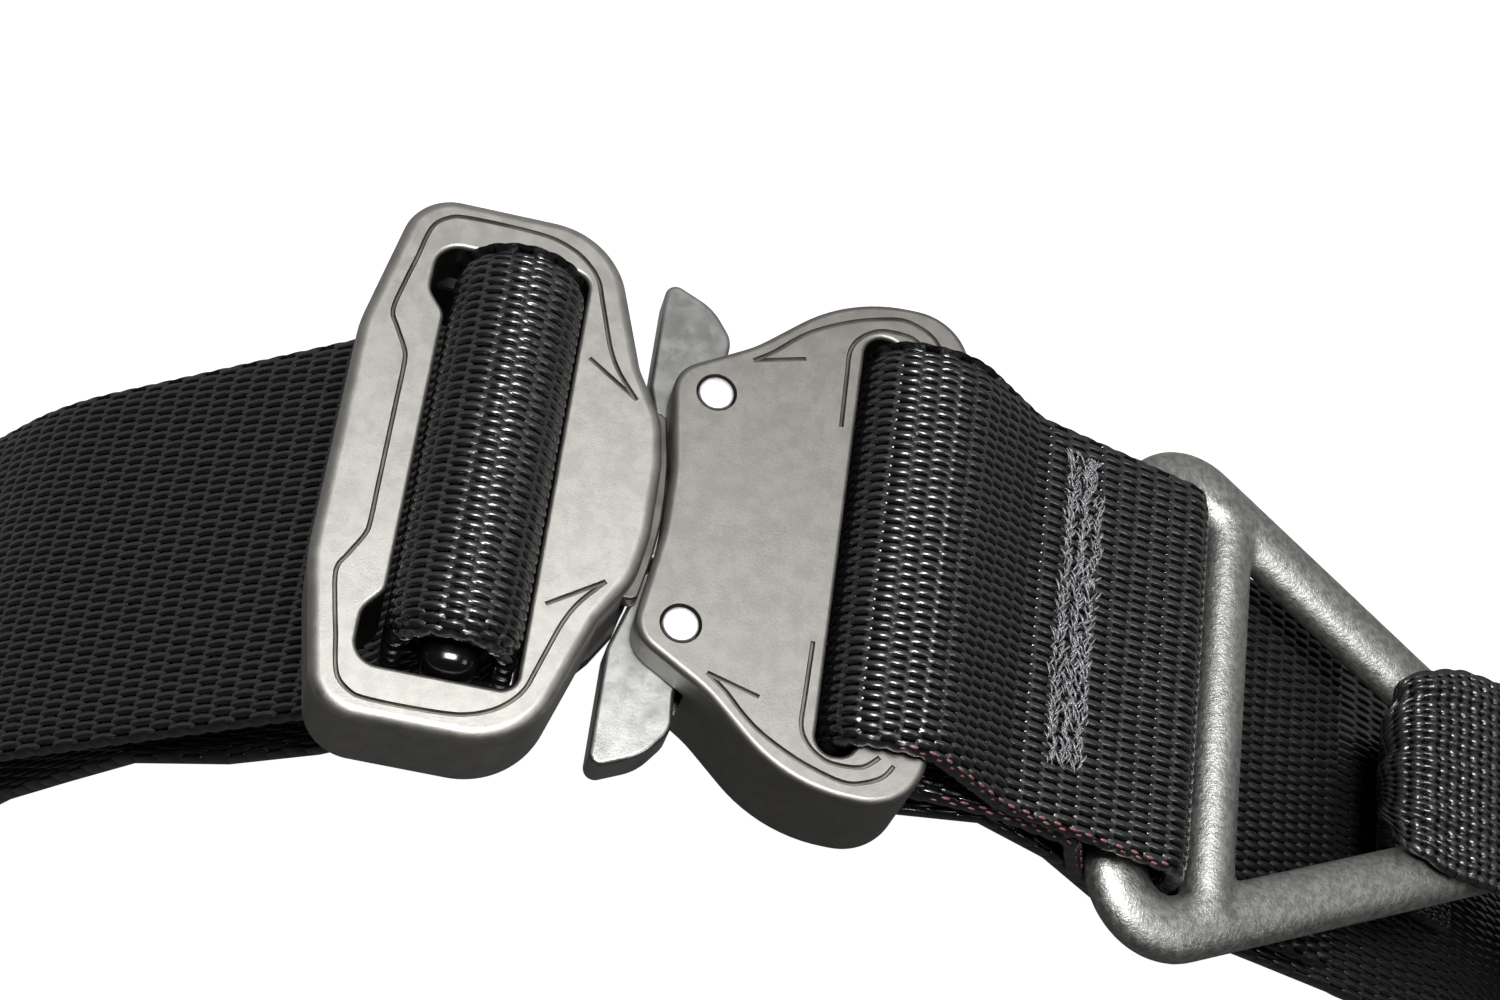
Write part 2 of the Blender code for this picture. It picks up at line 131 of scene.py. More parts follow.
FEMALE_BARB = ((3.3, 17.9), (8.75, 19.4))
SLOT_GROOVE = (
    (13.35, 12.3), (13.25, 18.5), (13.25, 21.4), (14.0, 23.1), (15.4, 24.3), (17.0, 24.8),
    (19.7, 24.6), (21.4, 23.2),
)
GROOVE_RADIUS = 0.27
GROOVE_SUNK = 0.1
GROOVE_SIDES = 8
# How far cutters reach past a face
PAST = 1.0

# Each row: how much slimmer than the rivet's shank, and height
RIVET_PROFILE = (
    (0.2, -FEMALE_DEPTH), (0.0, 0.25 - FEMALE_DEPTH), (0.0, -0.3), (0.05, -0.12), (0.16, -0.04), (0.4, 0.0),
    (1.45, 0.01),
)

# Adjuster bar
BAR_CENTRE = (-21.7, -1.85)
BAR_SIZE = (4.1, 4.2)
BAR_SQUARE = 0.75
BAR_SIDES = 48
BAR_NOSE = (
    (20.0, 0.0), (20.4, 1.1), (21.6, 1.2), (22.3, 1.32), (22.8, 1.65), (23.2, 2.2), (23.5, 2.9), (23.6, 3.5),
)
CHEEK_TOP = -5.5
CHEEK_BACK = -13.3
CHEEK_EDGE = 0.25
CHEEK_OUTLINE = (
    (-30.5, 21.9), (-30.5, 22.4), (-29.4, 23.5), (-15.6, 23.6), (-14.85, 23.0), (-14.85, 20.8),
)

# V-ring
RING_PLACE = (63.2, -23.0)
RING_DROP = math.radians(14.7)
RING_SECTION = (7.4, 5.0)
RING_OUTLINE = ((-11.9, -30.5, 6.0), (-11.2, 29.9, 5.4), (48.9, -1.5, 6.5))
CROSSBAR_PLACE = -0.4
CROSSBAR_RADIUS = 3.05
CROSSBAR_HALF = 24.4
CROSSBAR_FLARE = 3.4
CROSSBAR_SHIFT = -0.5
CROSSBAR_STEPS = 60
CROSSBAR_PROUD = 0.35
RING_SIDES = 24
RING_SQUARE = 0.95
RING_VOXEL = 0.42
RING_SOFTENING = 12

# Webbing
WEB_HALF = 22.75
WEB_HALF_ON_BAR = 22.0
WEB_SHIFT_ON_BAR = 0.6
WEB_THICK = 2.1
TAPE_THICK = 1.8
WEB_ROWS = 41
WEB_COLUMN = 2.7
WEB_ROW = 2 * WEB_HALF / WEB_ROWS
WEB_RELIEF = 0.46
WEB_SCALLOP = 0.28
WEB_SCALLOP_POWER = 0.8
WEB_EDGE = 0.45
WEB_SINK = 0.4
WEB_EDGE_CLOTH = 0.3
WOVEN_BUMP = 0.4
WEB_BACK_CELLS = 12
WEB_DROOPS_FROM = 0.88
RELIEF_SUNK = 0.55
FAR_STEP = 3.0
FADE_IN = 22.0
FADE_OUT = 6.0
FAR_AWAY = 5000.0
# Stretches that the camera sees, and how many steps a column of the weave takes there
HIDDEN_STEP = 0.8
BELT_STEPS = 6.0
BELT_FINE = (140.0, 268.0)
BELT_RETURN = 190.0
BELT_RETURN_DEPTH = -8.0
BELT_BEHIND_RING = (72.0, 112.0)
BELT_RING_STEP = 1.0
BELT_PLAIN_STEP = 12.0
LINK_STEPS = 6.4
# The link's hidden side: its depth in the slot, then from a bend on a depth that falls with a slope
LINK_SLOT_BACK = -8.6
LINK_BACK = (35.8, -8.75, 0.378)
# Share of the edge's width, and height as a share of the webbing's thickness
EDGE_PROFILE = ((0.55, 0.4), (0.87, 0.23), (1.0, 0.0), (0.87, -0.23), (0.55, -0.4))
# From the strap to the adjuster bar, and from the slot to the V-ring
BAR_SQUEEZES = (-14.0, -10.0)
BAR_PACKS = (-14.0, -6.0)
BAR_SINKS = (-10.0, -2.0)
BELT_PITCH = (2.8, 2.0)
BELT_SINK = (0.35, 1.25)
LINK_PACKS = (28.0, 37.0)
LINK_SINKS = (26.0, 34.0)
LINK_PITCH = (1.95, 2.4)
LINK_SINK = (1.0, 0.35)
BACKING_HALF = 21.6
BACKING_NOMINAL = 20.0
BACKING_STEP = 0.36

# Weaves. The lenses, or floats, of one repeat are rows of (shift along, shift across, reach along, reach
# across) in columns and rows, row_span is half of what repeats across, point and dome are the powers that shape
# a lens, valley says where crevices end, and fibre and detail give the scale of the yarn's fibres.
Weave = namedtuple("Weave", "column row row_span lenses point dome valley fibre detail")
FLOAT_REACH = (0.68, 1 / 2.08)
LONG_BEAD = (0.72, 0.5)
CROSS_BEAD = (0.5, 0.72)
FLOATS = Weave(
    column=WEB_COLUMN, row=WEB_ROW, row_span=0.5, lenses=((0.0, 0.0, *FLOAT_REACH), (1.0, 0.5, *FLOAT_REACH)),
    point=1.8, dome=0.34, valley=(-0.05, 0.25), fibre=(0.7, 9.0), detail=2.0,
)
BACKING_FLOATS = FLOATS._replace(column=2.0)
BASKET = Weave(
    column=1.4, row=1.05, row_span=1.0,
    lenses=((0.0, 0.0, *LONG_BEAD), (1.0, 1.0, *LONG_BEAD), (1.0, 0.0, *CROSS_BEAD), (0.0, 1.0, *CROSS_BEAD)),
    point=2.0, dome=0.5, valley=(-0.05, 0.4), fibre=(4.0, 4.0), detail=3.0,
)
# Painted shade: the near black of the weave's crevices.
CREVICE_PAINTED_SHADE = (0.001, 0.001, 0.001)
LINK_ROUTE = (
    (16.45, 1.95, 4.4), (26.0, 1.95, 8.0), (35.8, -7.75, 6.0), (57.9, -16.1, 4.0), (57.9, -25.2, 3.7),
    (48.2, -23.1, 2.6), (45.0, -13.6, 2.4), (35.5, -10.0, 6.0), (30.0, -9.3, 8.0), (16.45, -9.3, 4.2),
)
BELT_ROUTE = (
    (11.5, -15.4, 0.0), (27.0, -15.4, 20.0), (33.0, -12.7, 6.0), (38.5, -13.6, 6.0), (43.1, -15.4, 3.0),
    (46.5, -24.85, 4.0), (84.0, -41.8, 60.0), (140.0, -74.0, 90.0), (143.0, -190.0, 380.0),
    (138.0, -370.0, 118.0), (-108.0, -370.0, 112.0), (-116.0, -190.0, 380.0), (-100.0, -100.0, 90.0),
    (-70.0, -52.1, 60.0), (-27.25, -13.0, 4.0), (-27.25, 4.6, 5.54), (-16.15, 4.6, 5.54), (-16.15, -9.5, 5.0),
    (-38.5, -36.0, 8.0), (-50.5, -40.0, 10.0), (-66.5, -61.5, 40.0), (-97.0, -122.0, 0.0),
)
BACKING_ROUTE = ((61.5, -28.9, 0.0), (82.0, -38.1, 0.0))
KEEPER_ROUTE = (
    (101.0, -49.2, 0.0), (91.0, -43.2, 3.2), (84.0, -24.6, 2.8), (95.0, -26.9, 12.0), (108.5, -31.7, 8.0),
    (118.0, -40.0, 14.0), (127.0, -52.0, 25.0), (135.0, -72.0, 40.0), (139.0, -92.0, 0.0),
)
KEEPER_HALF = 12.6
KEEPER_SQUEEZED = 10.3
KEEPER_IN_RING = 6.4
# Where along the belt the tape opens above its fold, and at which depths it narrows into the ring and widens behind
KEEPER_OPENS = (84.5, 93.5)
KEEPER_NARROWS = (25.6, 29.5)
KEEPER_WIDENS = (36.0, 40.0)
KEEPER_BEND_END = 88.5
KEEPER_STEP = 0.24
KEEPER_PLAIN_STEP = 4.0
KEEPER_PLAIN_DEPTH = -60.0
# Gathers at the fold: height, length and shift of each ripple, then where they start to die away, over what
# length, and the depth that they reach
KEEPER_RIPPLES = ((0.34, 5.3, 0.7), (0.16, 3.1, 0.0))
KEEPER_GATHERS = (85.0, 8.0, -36.0)

# Stitches and tracer
TACK_LOW = -16.8
TACK_HIGH = 19.6
TACK_COLUMNS = (40.55, 42.2, 43.75)
TACK_LAYERS = 5
TACK_SHIFT = 0.9
TACK_SHIFT_FROM = 15.0
TACK_LIFTS = (0.04, 0.08)
STITCH_START = (0.0, 0.8)
STITCH_LENGTH = (0.7, 1.5)
STITCH_SCATTER = 0.33
STITCH_SLANT = (0.2, 0.8)
STITCH_PAST = 0.4
STITCH_RADIUS = (0.08, 0.16)
STITCH_BOW = (0.1, 0.34)
STITCH_ADVANCE = (0.55, 0.95)
STRAND_UP = (0.36, 0.0, 0.93)
STRAND_STEPS = 4
STRAND_TIP = 0.55
TRACER_RADIUS = 0.2
TRACER_HALF = 0.45
TRACER_STEP = 0.5
TRACER_LEVELS = (0.95, 0.45)
# From, to and lowest place of the tracer on the link's front and back
TRACER_FRONT = (22.0, 55.5, -16.5)
TRACER_BACK = (29.0, 47.6, -21.0)

# Camera, fitted to the buckle: its axes and place in the buckle's frame
CAMERA_TURN = (-27.67976643, -6.60396719, 11.75016503)
CAMERA_SHIFT = (-5.12194422, 0.53904157, 287.53891398)
CAMERA_FOCAL = 2850.0
PHOTO_WIDTH = 1500.0

# Studio: how brightly the floor and the world's front and back light the belt, and soft lights in the
# buckle's frame, with place and aim in millimetres, size in metres and power in watts
FLOOR_HALF = 6.0
FLOOR_DROP = 0.0002
FLOOR_GLOW = 0.1
FRONT_GLOW = 0.015
BACK_GLOW = 0.09
WHITE = (1.0, 1.0, 1.0)
LIGHTS = {
    "key_softbox": ((0.0, -80.0, 600.0), (0.0, 0.0, 0.0), (0.11, 0.16), 5.6),
    "left_softbox": ((-260.0, 150.0, 520.0), (0.0, 0.0, 0.0), (0.2, 0.2), 1.5),
    "rim_softbox": ((-440.0, 260.0, 325.0), (0.0, 0.0, 0.0), (0.16, 0.16), 0.35),
    "side_softbox": ((420.0, -200.0, 400.0), (60.0, 0.0, -20.0), (0.2, 0.2), 0.5),
}


# The buckle's frame


def buckle_frame():
    """The matrix from the buckle's own frame, in metres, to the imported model's."""
    hinges = {joint["name"]: joint for joint in frame["joints"]}
    low = hinges["lever_bottom_hinge"]
    high = hinges["lever_top_hinge"]
    outward = Vector(low["axis"]).normalized()
    across = Vector(low["pos_m"]) - Vector(high["pos_m"])
    across = (across - outward * across.dot(outward)).normalized()
    along = across.cross(outward)
    origin = (Vector(low["pos_m"]) + Vector(high["pos_m"])) / 2 + outward * HINGE_DEPTH * MM
    turn = Matrix((along, across, outward)).transposed().to_4x4()
    return Matrix.Translation(origin) @ turn


BUCKLE = buckle_frame()
TO_WORLD = BUCKLE @ Matrix.Scale(MM, 4)


def settle(mesh):
    """Moves a mesh laid out in millimetres in the buckle's frame to its place."""
    mesh.transform(TO_WORLD)
    mesh.update()


# Outlines


def rounded(rows, closed=True, step=FINE_ARC):
    """Points along straight runs whose corners, rows of (u, v, radius), are rounded by arcs."""
    points = []
    count = len(rows)
    for number, (u, v, radius) in enumerate(rows):
        corner = Vector((u, v))
        at_end = not closed and number in (0, count - 1)
        if at_end or radius == 0:
            points.append(corner)
            continue
        before = (Vector(rows[number - 1][:2]) - corner).normalized()
        after = (Vector(rows[(number + 1) % count][:2]) - corner).normalized()
        turn = math.pi - before.angle(after)
        start = corner + before * radius * math.tan(turn / 2)
        centre = start + (after - before * after.dot(before)).normalized() * radius
        stops = max(2, math.ceil(turn / step))
        side = 1 if before.x * after.y - before.y * after.x < 0 else -1
        for stop in range(stops + 1):
            points.append(centre + Matrix.Rotation(side * turn * stop / stops, 2) @ (start - centre))
    return points


def both_halves(rows):
    return list(rows) + [(x, -y, radius) for x, y, radius in reversed(rows)]


def other_side(points):
    return [Vector((x, -y)) for x, y in reversed(points)]


def circle(sides, turn=0.0):
    """Cosine and sine at even steps round a circle, turned by a share of a step."""
    angles = [2 * math.pi * (side + turn) / sides for side in range(sides)]
    return [(math.cos(angle), math.sin(angle)) for angle in angles]


def squarish(sides, power):
    """A circle whose quarters are filled out, for bars and rings with flattened sides."""
    return [tuple(math.copysign(abs(part) ** power, part) for part in pair) for pair in circle(sides)]


def around(points):
    """Each point of a closed line, the direction towards it, and the line's direction there."""
    for number, point in enumerate(points):
        before = (point - points[number - 1]).normalized()
        after = (points[(number + 1) % len(points)] - point).normalized()
        yield point, before, (before + after).normalized()


def inset(points, amount):
    moved = []
    for point, before, along in around(points):
        moved.append(point + Vector((along.y, -along.x)) * (amount / max(0.3, along.dot(before))))
    return moved


def arc_rows(radius, start, end):
    """Rows along an arc about the rivet at +RIVET_Y, from one height y down to another."""
    first = math.asin((RIVET_Y - start) / radius)
    last = math.asin((RIVET_Y - end) / radius)
    steps = 10
    angles = [first + (last - first) * number / steps for number in range(steps + 1)]
    return [(radius * math.cos(angle), RIVET_Y - radius * math.sin(angle), 0.0) for angle in angles]


def smooth_path(points, pieces=4):
    """A Catmull-Rom curve through a path's points."""
    ends = [Vector(points[0]), *[Vector(point) for point in points], Vector(points[-1])]
    curve = []
    for number in range(1, len(ends) - 2):
        a, b, c, d = ends[number - 1:number + 3]
        for piece in range(pieces):
            t = piece / pieces
            curve.append(
                (2 * b + (c - a) * t + (2 * a - 5 * b + 4 * c - d) * t ** 2 + (3 * b - a - 3 * c + d) * t ** 3) / 2
            )
    curve.append(ends[-1])
    return curve


# Plain meshes


def link(name, mesh):
    thing = bpy.data.objects.new(name, mesh)
    bpy.context.scene.collection.objects.link(thing)
    return thing


def finished(name, shape):
    """A piece from a bmesh, its faces turned outwards."""
    bmesh.ops.recalc_face_normals(shape, faces=shape.faces)
    mesh = bpy.data.meshes.new(name)
    shape.to_mesh(mesh)
    shape.free()
    return link(name, mesh)


def skin(shape, rings, closed=False):
    """Adds a body through rings of points to a bmesh, capped at both ends or joined end to end."""
    loops = [[shape.verts.new(point) for point in ring] for ring in rings]
    for first, second in zip(loops, loops[1:] + (loops[:1] if closed else [])):
        for number in range(len(first)):
            following = (number + 1) % len(first)
            shape.faces.new((first[number], first[following], second[following], second[number]))
    if not closed:
        shape.faces.new(reversed(loops[0]))
        shape.faces.new(loops[-1])


def loft(name, rings, closed=False):
    shape = bmesh.new()
    skin(shape, rings, closed)
    return finished(name, shape)


def slab(name, outline, levels):
    """A flat piece: its outline at each level, a pair of depth and inset."""
    rings = []
    for depth, amount in levels:
        ring = inset(outline, amount) if amount else outline
        rings.append([(point.x, point.y, depth) for point in ring])
    return loft(name, rings)


def soft_edge(radius, steps=6):
    """Levels of a quarter round from a face down to its wall."""
    angles = [math.pi / 2 * step / steps for step in range(steps + 1)]
    return [(-radius * (1 - math.cos(angle)), radius * (1 - math.sin(angle))) for angle in angles]


def slab_levels(top, bottom, radius, steps=6):
    edge = soft_edge(radius, steps)
    return [(top + z, amount) for z, amount in edge] + [(bottom - z, amount) for z, amount in reversed(edge)]


def even_slab(name, rows, *levels):
    """A slab with rounded edges that is the same on both sides of the belt's middle."""
    return slab(name, rounded(both_halves(rows)), slab_levels(*levels))


def coloured(thing, material):
    thing.data.materials.append(material)
    return thing


def window_cuts(rows, depth):
    """Cutters for a window: straight walls painted near black as shade, and a flare into a quarter round at either
    face.
    """
    outline = rounded(both_halves(rows))
    # The window's walls carry painted shade: near black metal for the shade inside the window.
    through = coloured(slab("window", outline, ((PAST, 0.0), (-depth - PAST, 0.0))), painted_shade_black)
    edge = [(z, -amount) for z, amount in soft_edge(RIM_ROUND, 4)]
    rim = [(PAST, -RIM_ROUND), *edge, (-RIM_ROUND - RIM_END[0], RIM_END[1])]
    front = slab("rim", outline, rim)
    back = slab("rim", outline, [(-depth - z, amount) for z, amount in reversed(rim)])
    return [(cutter, CUT) for cutter in (through, front, back)]


def block(low, high):
    corners = ((low[0], low[1]), (low[0], high[1]), (high[0], high[1]), (high[0], low[1]))
    return loft("block", [[(x, y, z) for x, y in corners] for z in (high[2], low[2])])


def tenons(play, operation):
    """A block on each side that reaches into the adjustable half's walls, with play all round."""
    left, right, reach, low, high = TENON_BOX
    changes = []
    for side in (-1, 1):
        near, far = sorted((side * TENON_START, side * (reach - play)))
        changes.append((block((left + play, near, low + play), (right - play, far, high - play)), operation))
    return changes


def turned(name, side, profile):
    """A turned body about one rivet's line: rows of radius and height."""
    rings = []
    for radius, height in profile:
        rings.append([(radius * u, side * RIVET_Y + radius * v, height) for u, v in circle(TURNED_SIDES)])
    return loft(name, rings)


def groove(path):
    """A round cutter that lies along a path on the face, whose cut faces carry painted shade."""
    curve = smooth_path(path) if len(path) > 2 else [Vector(point) for point in path]
    rings = []
    for number, point in enumerate(curve):
        ahead = curve[min(number + 1, len(curve) - 1)]
        behind = curve[max(number - 1, 0)]
        along = (ahead - behind).normalized()
        side = Vector((-along.y, along.x)) * GROOVE_RADIUS
        rings.append([
            (*(point + side * u), GROOVE_RADIUS * v - GROOVE_SUNK) for u, v in circle(GROOVE_SIDES, 0.5)
        ])
    return coloured(loft("groove", rings), painted_shade_grey)


def mirrored(path):
    return [(x, -y) for x, y in path]


def carve(target, changes, material):
    """Cuts or joins other bodies, pairs of a body and an operation, and keeps the result as the mesh.

    Cut faces take the cutter's own material where it has one.
    """
    for other, operation in [(target, None), *changes]:
        if not other.data.materials:
            other.data.materials.append(material)
        if operation is None:
            continue
        change = target.modifiers.new("carve", "BOOLEAN")
        change.operation = operation
        change.solver = "EXACT"
        change.material_mode = "TRANSFER"
        change.object = other
    keep_shape(target)
    for other, _ in changes:
        bpy.data.objects.remove(other, do_unlink=True)


def keep_shape(target):
    """Turns a piece's modifiers into its mesh."""
    bpy.context.view_layer.update()
    graph = bpy.context.evaluated_depsgraph_get()
    mesh = bpy.data.meshes.new_from_object(target.evaluated_get(graph))
    target.modifiers.clear()
    old = target.data
    target.data = mesh
    bpy.data.meshes.remove(old)


def dress(thing, material, nodes=(), body="belt", sharp=32.0, even=True):
    """Gives a finished piece its place, material, smooth shading, body and the nodes that it stands for."""
    settle(thing.data)
    if not thing.data.materials:
        thing.data.materials.append(material)
    thing.data.shade_smooth()
    if sharp:
        thing.data.set_sharp_from_angle(angle=math.radians(sharp))
    if even:
        weighted = thing.modifiers.new("even shading", "WEIGHTED_NORMAL")
        weighted.keep_sharp = True
    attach(thing, body)
    if nodes:
        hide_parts(*nodes)


# Shader building


def feed(tree, socket, value):
    """Links a socket to an input, or sets the input to a number or a colour."""
    if isinstance(value, bpy.types.NodeSocket):
        tree.links.new(value, socket)
    elif isinstance(value, tuple):
        socket.default_value = (*value, 1.0)
    else:
        socket.default_value = value


def fed(tree, node, **values):
    """The node with values for its inputs, whose names have underscores for blanks."""
    for label, value in values.items():
        feed(tree, node.inputs[label.replace("_", " ")], value)
    return node


def add(tree, kind, **values):
    return fed(tree, tree.nodes.new("ShaderNode" + kind), **values)


def calc(tree, operation, *values):
    node = add(tree, "Math")
    node.operation = operation
    for socket, value in zip(node.inputs, values):
        feed(tree, socket, value)
    return node.outputs[0]


def blend_colour(tree, factor, first, second):
    node = add(tree, "Mix")
    node.data_type = "RGBA"
    for number, value in ((0, factor), (6, first), (7, second)):
        feed(tree, node.inputs[number], value)
    return node.outputs[2]


def spread(tree, value, low, high, to_low=0.0, to_high=1.0):
    node = add(tree, "MapRange", Value=value, From_Min=low, From_Max=high, To_Min=to_low, To_Max=to_high)
    node.interpolation_type = "SMOOTHSTEP"
    return node.outputs[0]


def speckle(tree, vector, scale, detail=2.0, roughness=0.5):
    return add(tree, "TexNoise", Vector=vector, Scale=scale, Detail=detail, Roughness=roughness).outputs["Fac"]


def own_place(tree):
    return add(tree, "TexCoord").outputs["Object"]


def toned(colour, factor):
    return tuple(min(1.0, part * factor) for part in colour)


def new_group(name, inputs, outputs):
    """An empty shader group. Its ends are numbers, but for one that is called Vector."""
    tree = bpy.data.node_groups.new(name, "ShaderNodeTree")
    for way, labels in (("INPUT", inputs), ("OUTPUT", outputs)):
        for label in labels:
            kind = "NodeSocketVector" if label == "Vector" else "NodeSocketFloat"
            tree.interface.new_socket(name=label, in_out=way, socket_type=kind)
    return tree, tree.nodes.new("NodeGroupInput").outputs, tree.nodes.new("NodeGroupOutput")


def weave_group(name, weave):
    """Height, crevices and fibres of a weave, from the millimetres along and across the webbing."""
    tree, given, result = new_group(name, ("Along", "Across", "Column", "Row"), ("Height", "Valley", "Fibre"))
    columns = calc(tree, "DIVIDE", given["Along"], given["Column"])
    rows = calc(tree, "DIVIDE", given["Across"], given["Row"])
    top = None
    for shift_column, shift_row, *reaches in weave.lenses:
        a = calc(tree, "WRAP", calc(tree, "ADD", columns, shift_column), 1.0, -1.0)
        b = calc(tree, "WRAP", calc(tree, "ADD", rows, shift_row), weave.row_span, -weave.row_span)
        lens = 1.0
        for part, reach, power in zip((a, b), reaches, (weave.point, 2.0)):
            share = calc(tree, "DIVIDE", calc(tree, "ABSOLUTE", part), reach)
            lens = calc(tree, "SUBTRACT", lens, calc(tree, "POWER", share, power))
        top = lens if top is None else calc(tree, "MAXIMUM", top, lens)
    along, across = [calc(tree, "MULTIPLY", end, scale) for end, scale in zip(given, weave.fibre)]
    place = add(tree, "CombineXYZ", X=along, Y=across).outputs[0]
    # Valley masks the weave's crevices, which the cloth paints in shade.
    fed(
        tree, result, Height=calc(tree, "POWER", calc(tree, "MAXIMUM", top, 0.0), weave.dome),
        Valley=spread(tree, top, *weave.valley, 1.0, 0.0), Fibre=speckle(tree, place, 1.0, weave.detail),
    )
    return tree


def grain_group():
    """Blasted or forged metal: fine grain, larger mottling and a few specks."""
    tree, given, result = new_group("metal grain", ("Vector", "Grain", "Cloud"), ("Height", "Mottle", "Speck"))
    sized = []
    for label in ("Grain", "Cloud"):
        scale = add(tree, "VectorMath")
        scale.operation = "SCALE"
        fed(tree, scale, Vector=given["Vector"], Scale=calc(tree, "DIVIDE", 1.0 / MM, given[label]))
        sized.append(scale.outputs[0])
    grain, cloud = sized
    fed(
        tree, result, Height=speckle(tree, grain, 1.0, 3.0, 0.6), Mottle=speckle(tree, cloud, 1.0, 4.0, 0.6),
        Speck=spread(tree, speckle(tree, grain, 0.45, 1.0), 0.62, 0.72),
    )
    return tree


FLOATS_GROUP = weave_group("woven floats", FLOATS)
BASKET_GROUP = weave_group("basket weave", BASKET)
GRAIN = grain_group()


def new_material(name, metallic=0.0, roughness=0.5, specular=0.5):
    material = bpy.data.materials.new(name)
    material.use_nodes = True
    tree = material.node_tree
    shader = tree.nodes["Principled BSDF"]
    fed(tree, shader, Metallic=metallic, Roughness=roughness, Specular_IOR_Level=specular)
    return material, tree, shader


def place_group(tree, group, **values):
    node = add(tree, "Group")
    node.node_tree = group
    return fed(tree, node, **values).outputs


def raise_surface(tree, shader, height, distance):
    fed(tree, shader, Normal=add(tree, "Bump", Strength=1.0, Distance=distance, Height=height).outputs[0])


def cloth_material(name, group, weave, crest, roughness, specular=1.0):
    """Woven yarn, from the millimetres along and across the webbing that each piece carries."""
    material, tree, shader = new_material(name, 0.0, roughness, specular)
    carried = add(tree, "Attribute")
    carried.attribute_name = "cloth"
    along, across, risen = add(tree, "SeparateXYZ", Vector=carried.outputs["Vector"]).outputs
    woven = place_group(tree, group, Along=along, Across=across, Column=weave.column, Row=weave.row)
    shade = calc(tree, "MULTIPLY", woven["Fibre"], 0.8)
    lit = blend_colour(tree, shade, toned(crest, 0.55), toned(crest, 1.5))
    # Painted shade: the crevices are near black and mostly metallic, so that they reflect next to nothing.
    fed(
        tree, shader, Base_Color=blend_colour(tree, woven["Valley"], lit, CREVICE_PAINTED_SHADE),
        Metallic=calc(tree, "MULTIPLY", woven["Valley"], 0.9),
        Roughness=spread(tree, woven["Fibre"], 0.3, 0.7, roughness - 0.06, roughness + 0.1),
    )
    relief = calc(tree, "MULTIPLY", woven["Height"], spread(tree, risen, 0.0, 1.0, 1.0, WOVEN_BUMP))
    fibres = calc(tree, "MULTIPLY", woven["Fibre"], 0.05)
    raise_surface(tree, shader, calc(tree, "ADD", relief, fibres), WEB_RELIEF * MM)
    return material


def metal_material(name, dark, light, roughness, grain, cloud, bump, uneven=0.03, contrast=(0.35, 0.65)):
    material, tree, shader = new_material(name, 1.0, roughness)
    surface = place_group(tree, GRAIN, Vector=own_place(tree), Grain=grain, Cloud=cloud)
    tint = blend_colour(tree, spread(tree, surface["Mottle"], *contrast), dark, light)
    speck = calc(tree, "MULTIPLY", surface["Speck"], 0.22)
    fed(
        tree, shader, Base_Color=blend_colour(tree, speck, tint, toned(dark, 0.6)),
        Roughness=spread(tree, surface["Mottle"], 0.3, 0.7, roughness - uneven, roughness + uneven),
    )
    raise_surface(tree, shader, surface["Height"], bump * MM)
    return material


satin_grey = metal_material(
    "satin grey metal", (0.227, 0.219, 0.205), (0.26, 0.25, 0.234), 0.5, 0.16, 1.7, 0.018, uneven=0.018
)
# Painted light: a lighter copy of the satin grey for the adjustable half, standing for the stronger light that falls on
# it.
satin_grey_painted_lighter = metal_material(
    "satin grey metal, painted lighter", (0.325, 0.316, 0.297), (0.377, 0.365, 0.343), 0.5, 0.16, 1.7, 0.018, uneven=0.018
)
# Painted shade: near black metal for window and slot walls and for the shelf, where shade falls.
painted_shade_black = metal_material("painted shade, near black", (0.03, 0.029, 0.027), (0.045, 0.043, 0.04), 0.5, 0.2, 2.0, 0.01)
# Painted shade: darker grey metal in the cut grooves and on the lip in the gap between the halves.
painted_shade_grey = metal_material("painted shade, grey", (0.1, 0.094, 0.085), (0.15, 0.14, 0.125), 0.5, 0.16, 4.0, 0.014)
zinc = metal_material(
    "zinc plated steel", (0.36, 0.365, 0.35), (0.44, 0.443, 0.43), 0.34, 0.3, 2.2, 0.01, uneven=0.04,
    contrast=(0.2, 0.8),
)
polished = metal_material("polished rivet", (0.93, 0.93, 0.92), (0.98, 0.98, 0.97), 0.5, 0.3, 3.0, 0.003)
forged = metal_material("forged steel", (0.29, 0.29, 0.275), (0.42, 0.415, 0.397), 0.48, 0.34, 0.8, 0.075)
nylon = cloth_material("black webbing", FLOATS_GROUP, FLOATS, (0.0056, 0.0059, 0.0064), 0.275)
backing_nylon = cloth_material(
    "black backing webbing", FLOATS_GROUP, BACKING_FLOATS, (0.005, 0.0052, 0.006), 0.36, 0.45
)
tape = cloth_material("black tape", BASKET_GROUP, BASKET, (0.01, 0.01, 0.0103), 0.32, 0.8)


def thread_material(name, colour, roughness):
    material, tree, shader = new_material(name, 0.0, roughness, 1.0)
    ply = speckle(tree, own_place(tree), 3500.0)
    fed(tree, shader, Base_Color=blend_colour(tree, ply, toned(colour, 0.45), toned(colour, 1.4)))
    raise_surface(tree, shader, ply, 0.05 * MM)
    return material


tack_thread = thread_material("lavender grey thread", (0.17, 0.169, 0.18), 0.32)
tracer_thread = thread_material("rose tracer yarn", (0.2, 0.065, 0.075), 0.5)


def black_gloss():
    material, tree, shader = new_material("gloss black bar", 0.0, 0.16)
    surface = place_group(tree, GRAIN, Vector=own_place(tree), Grain=0.4, Cloud=4.0)
    tint = blend_colour(tree, surface["Mottle"], (0.002, 0.002, 0.002), (0.005, 0.005, 0.0055))
    fed(tree, shader, Base_Color=tint)
    raise_surface(tree, shader, surface["Height"], 0.004 * MM)
    return material


bar_gloss = black_gloss()


# Buckle


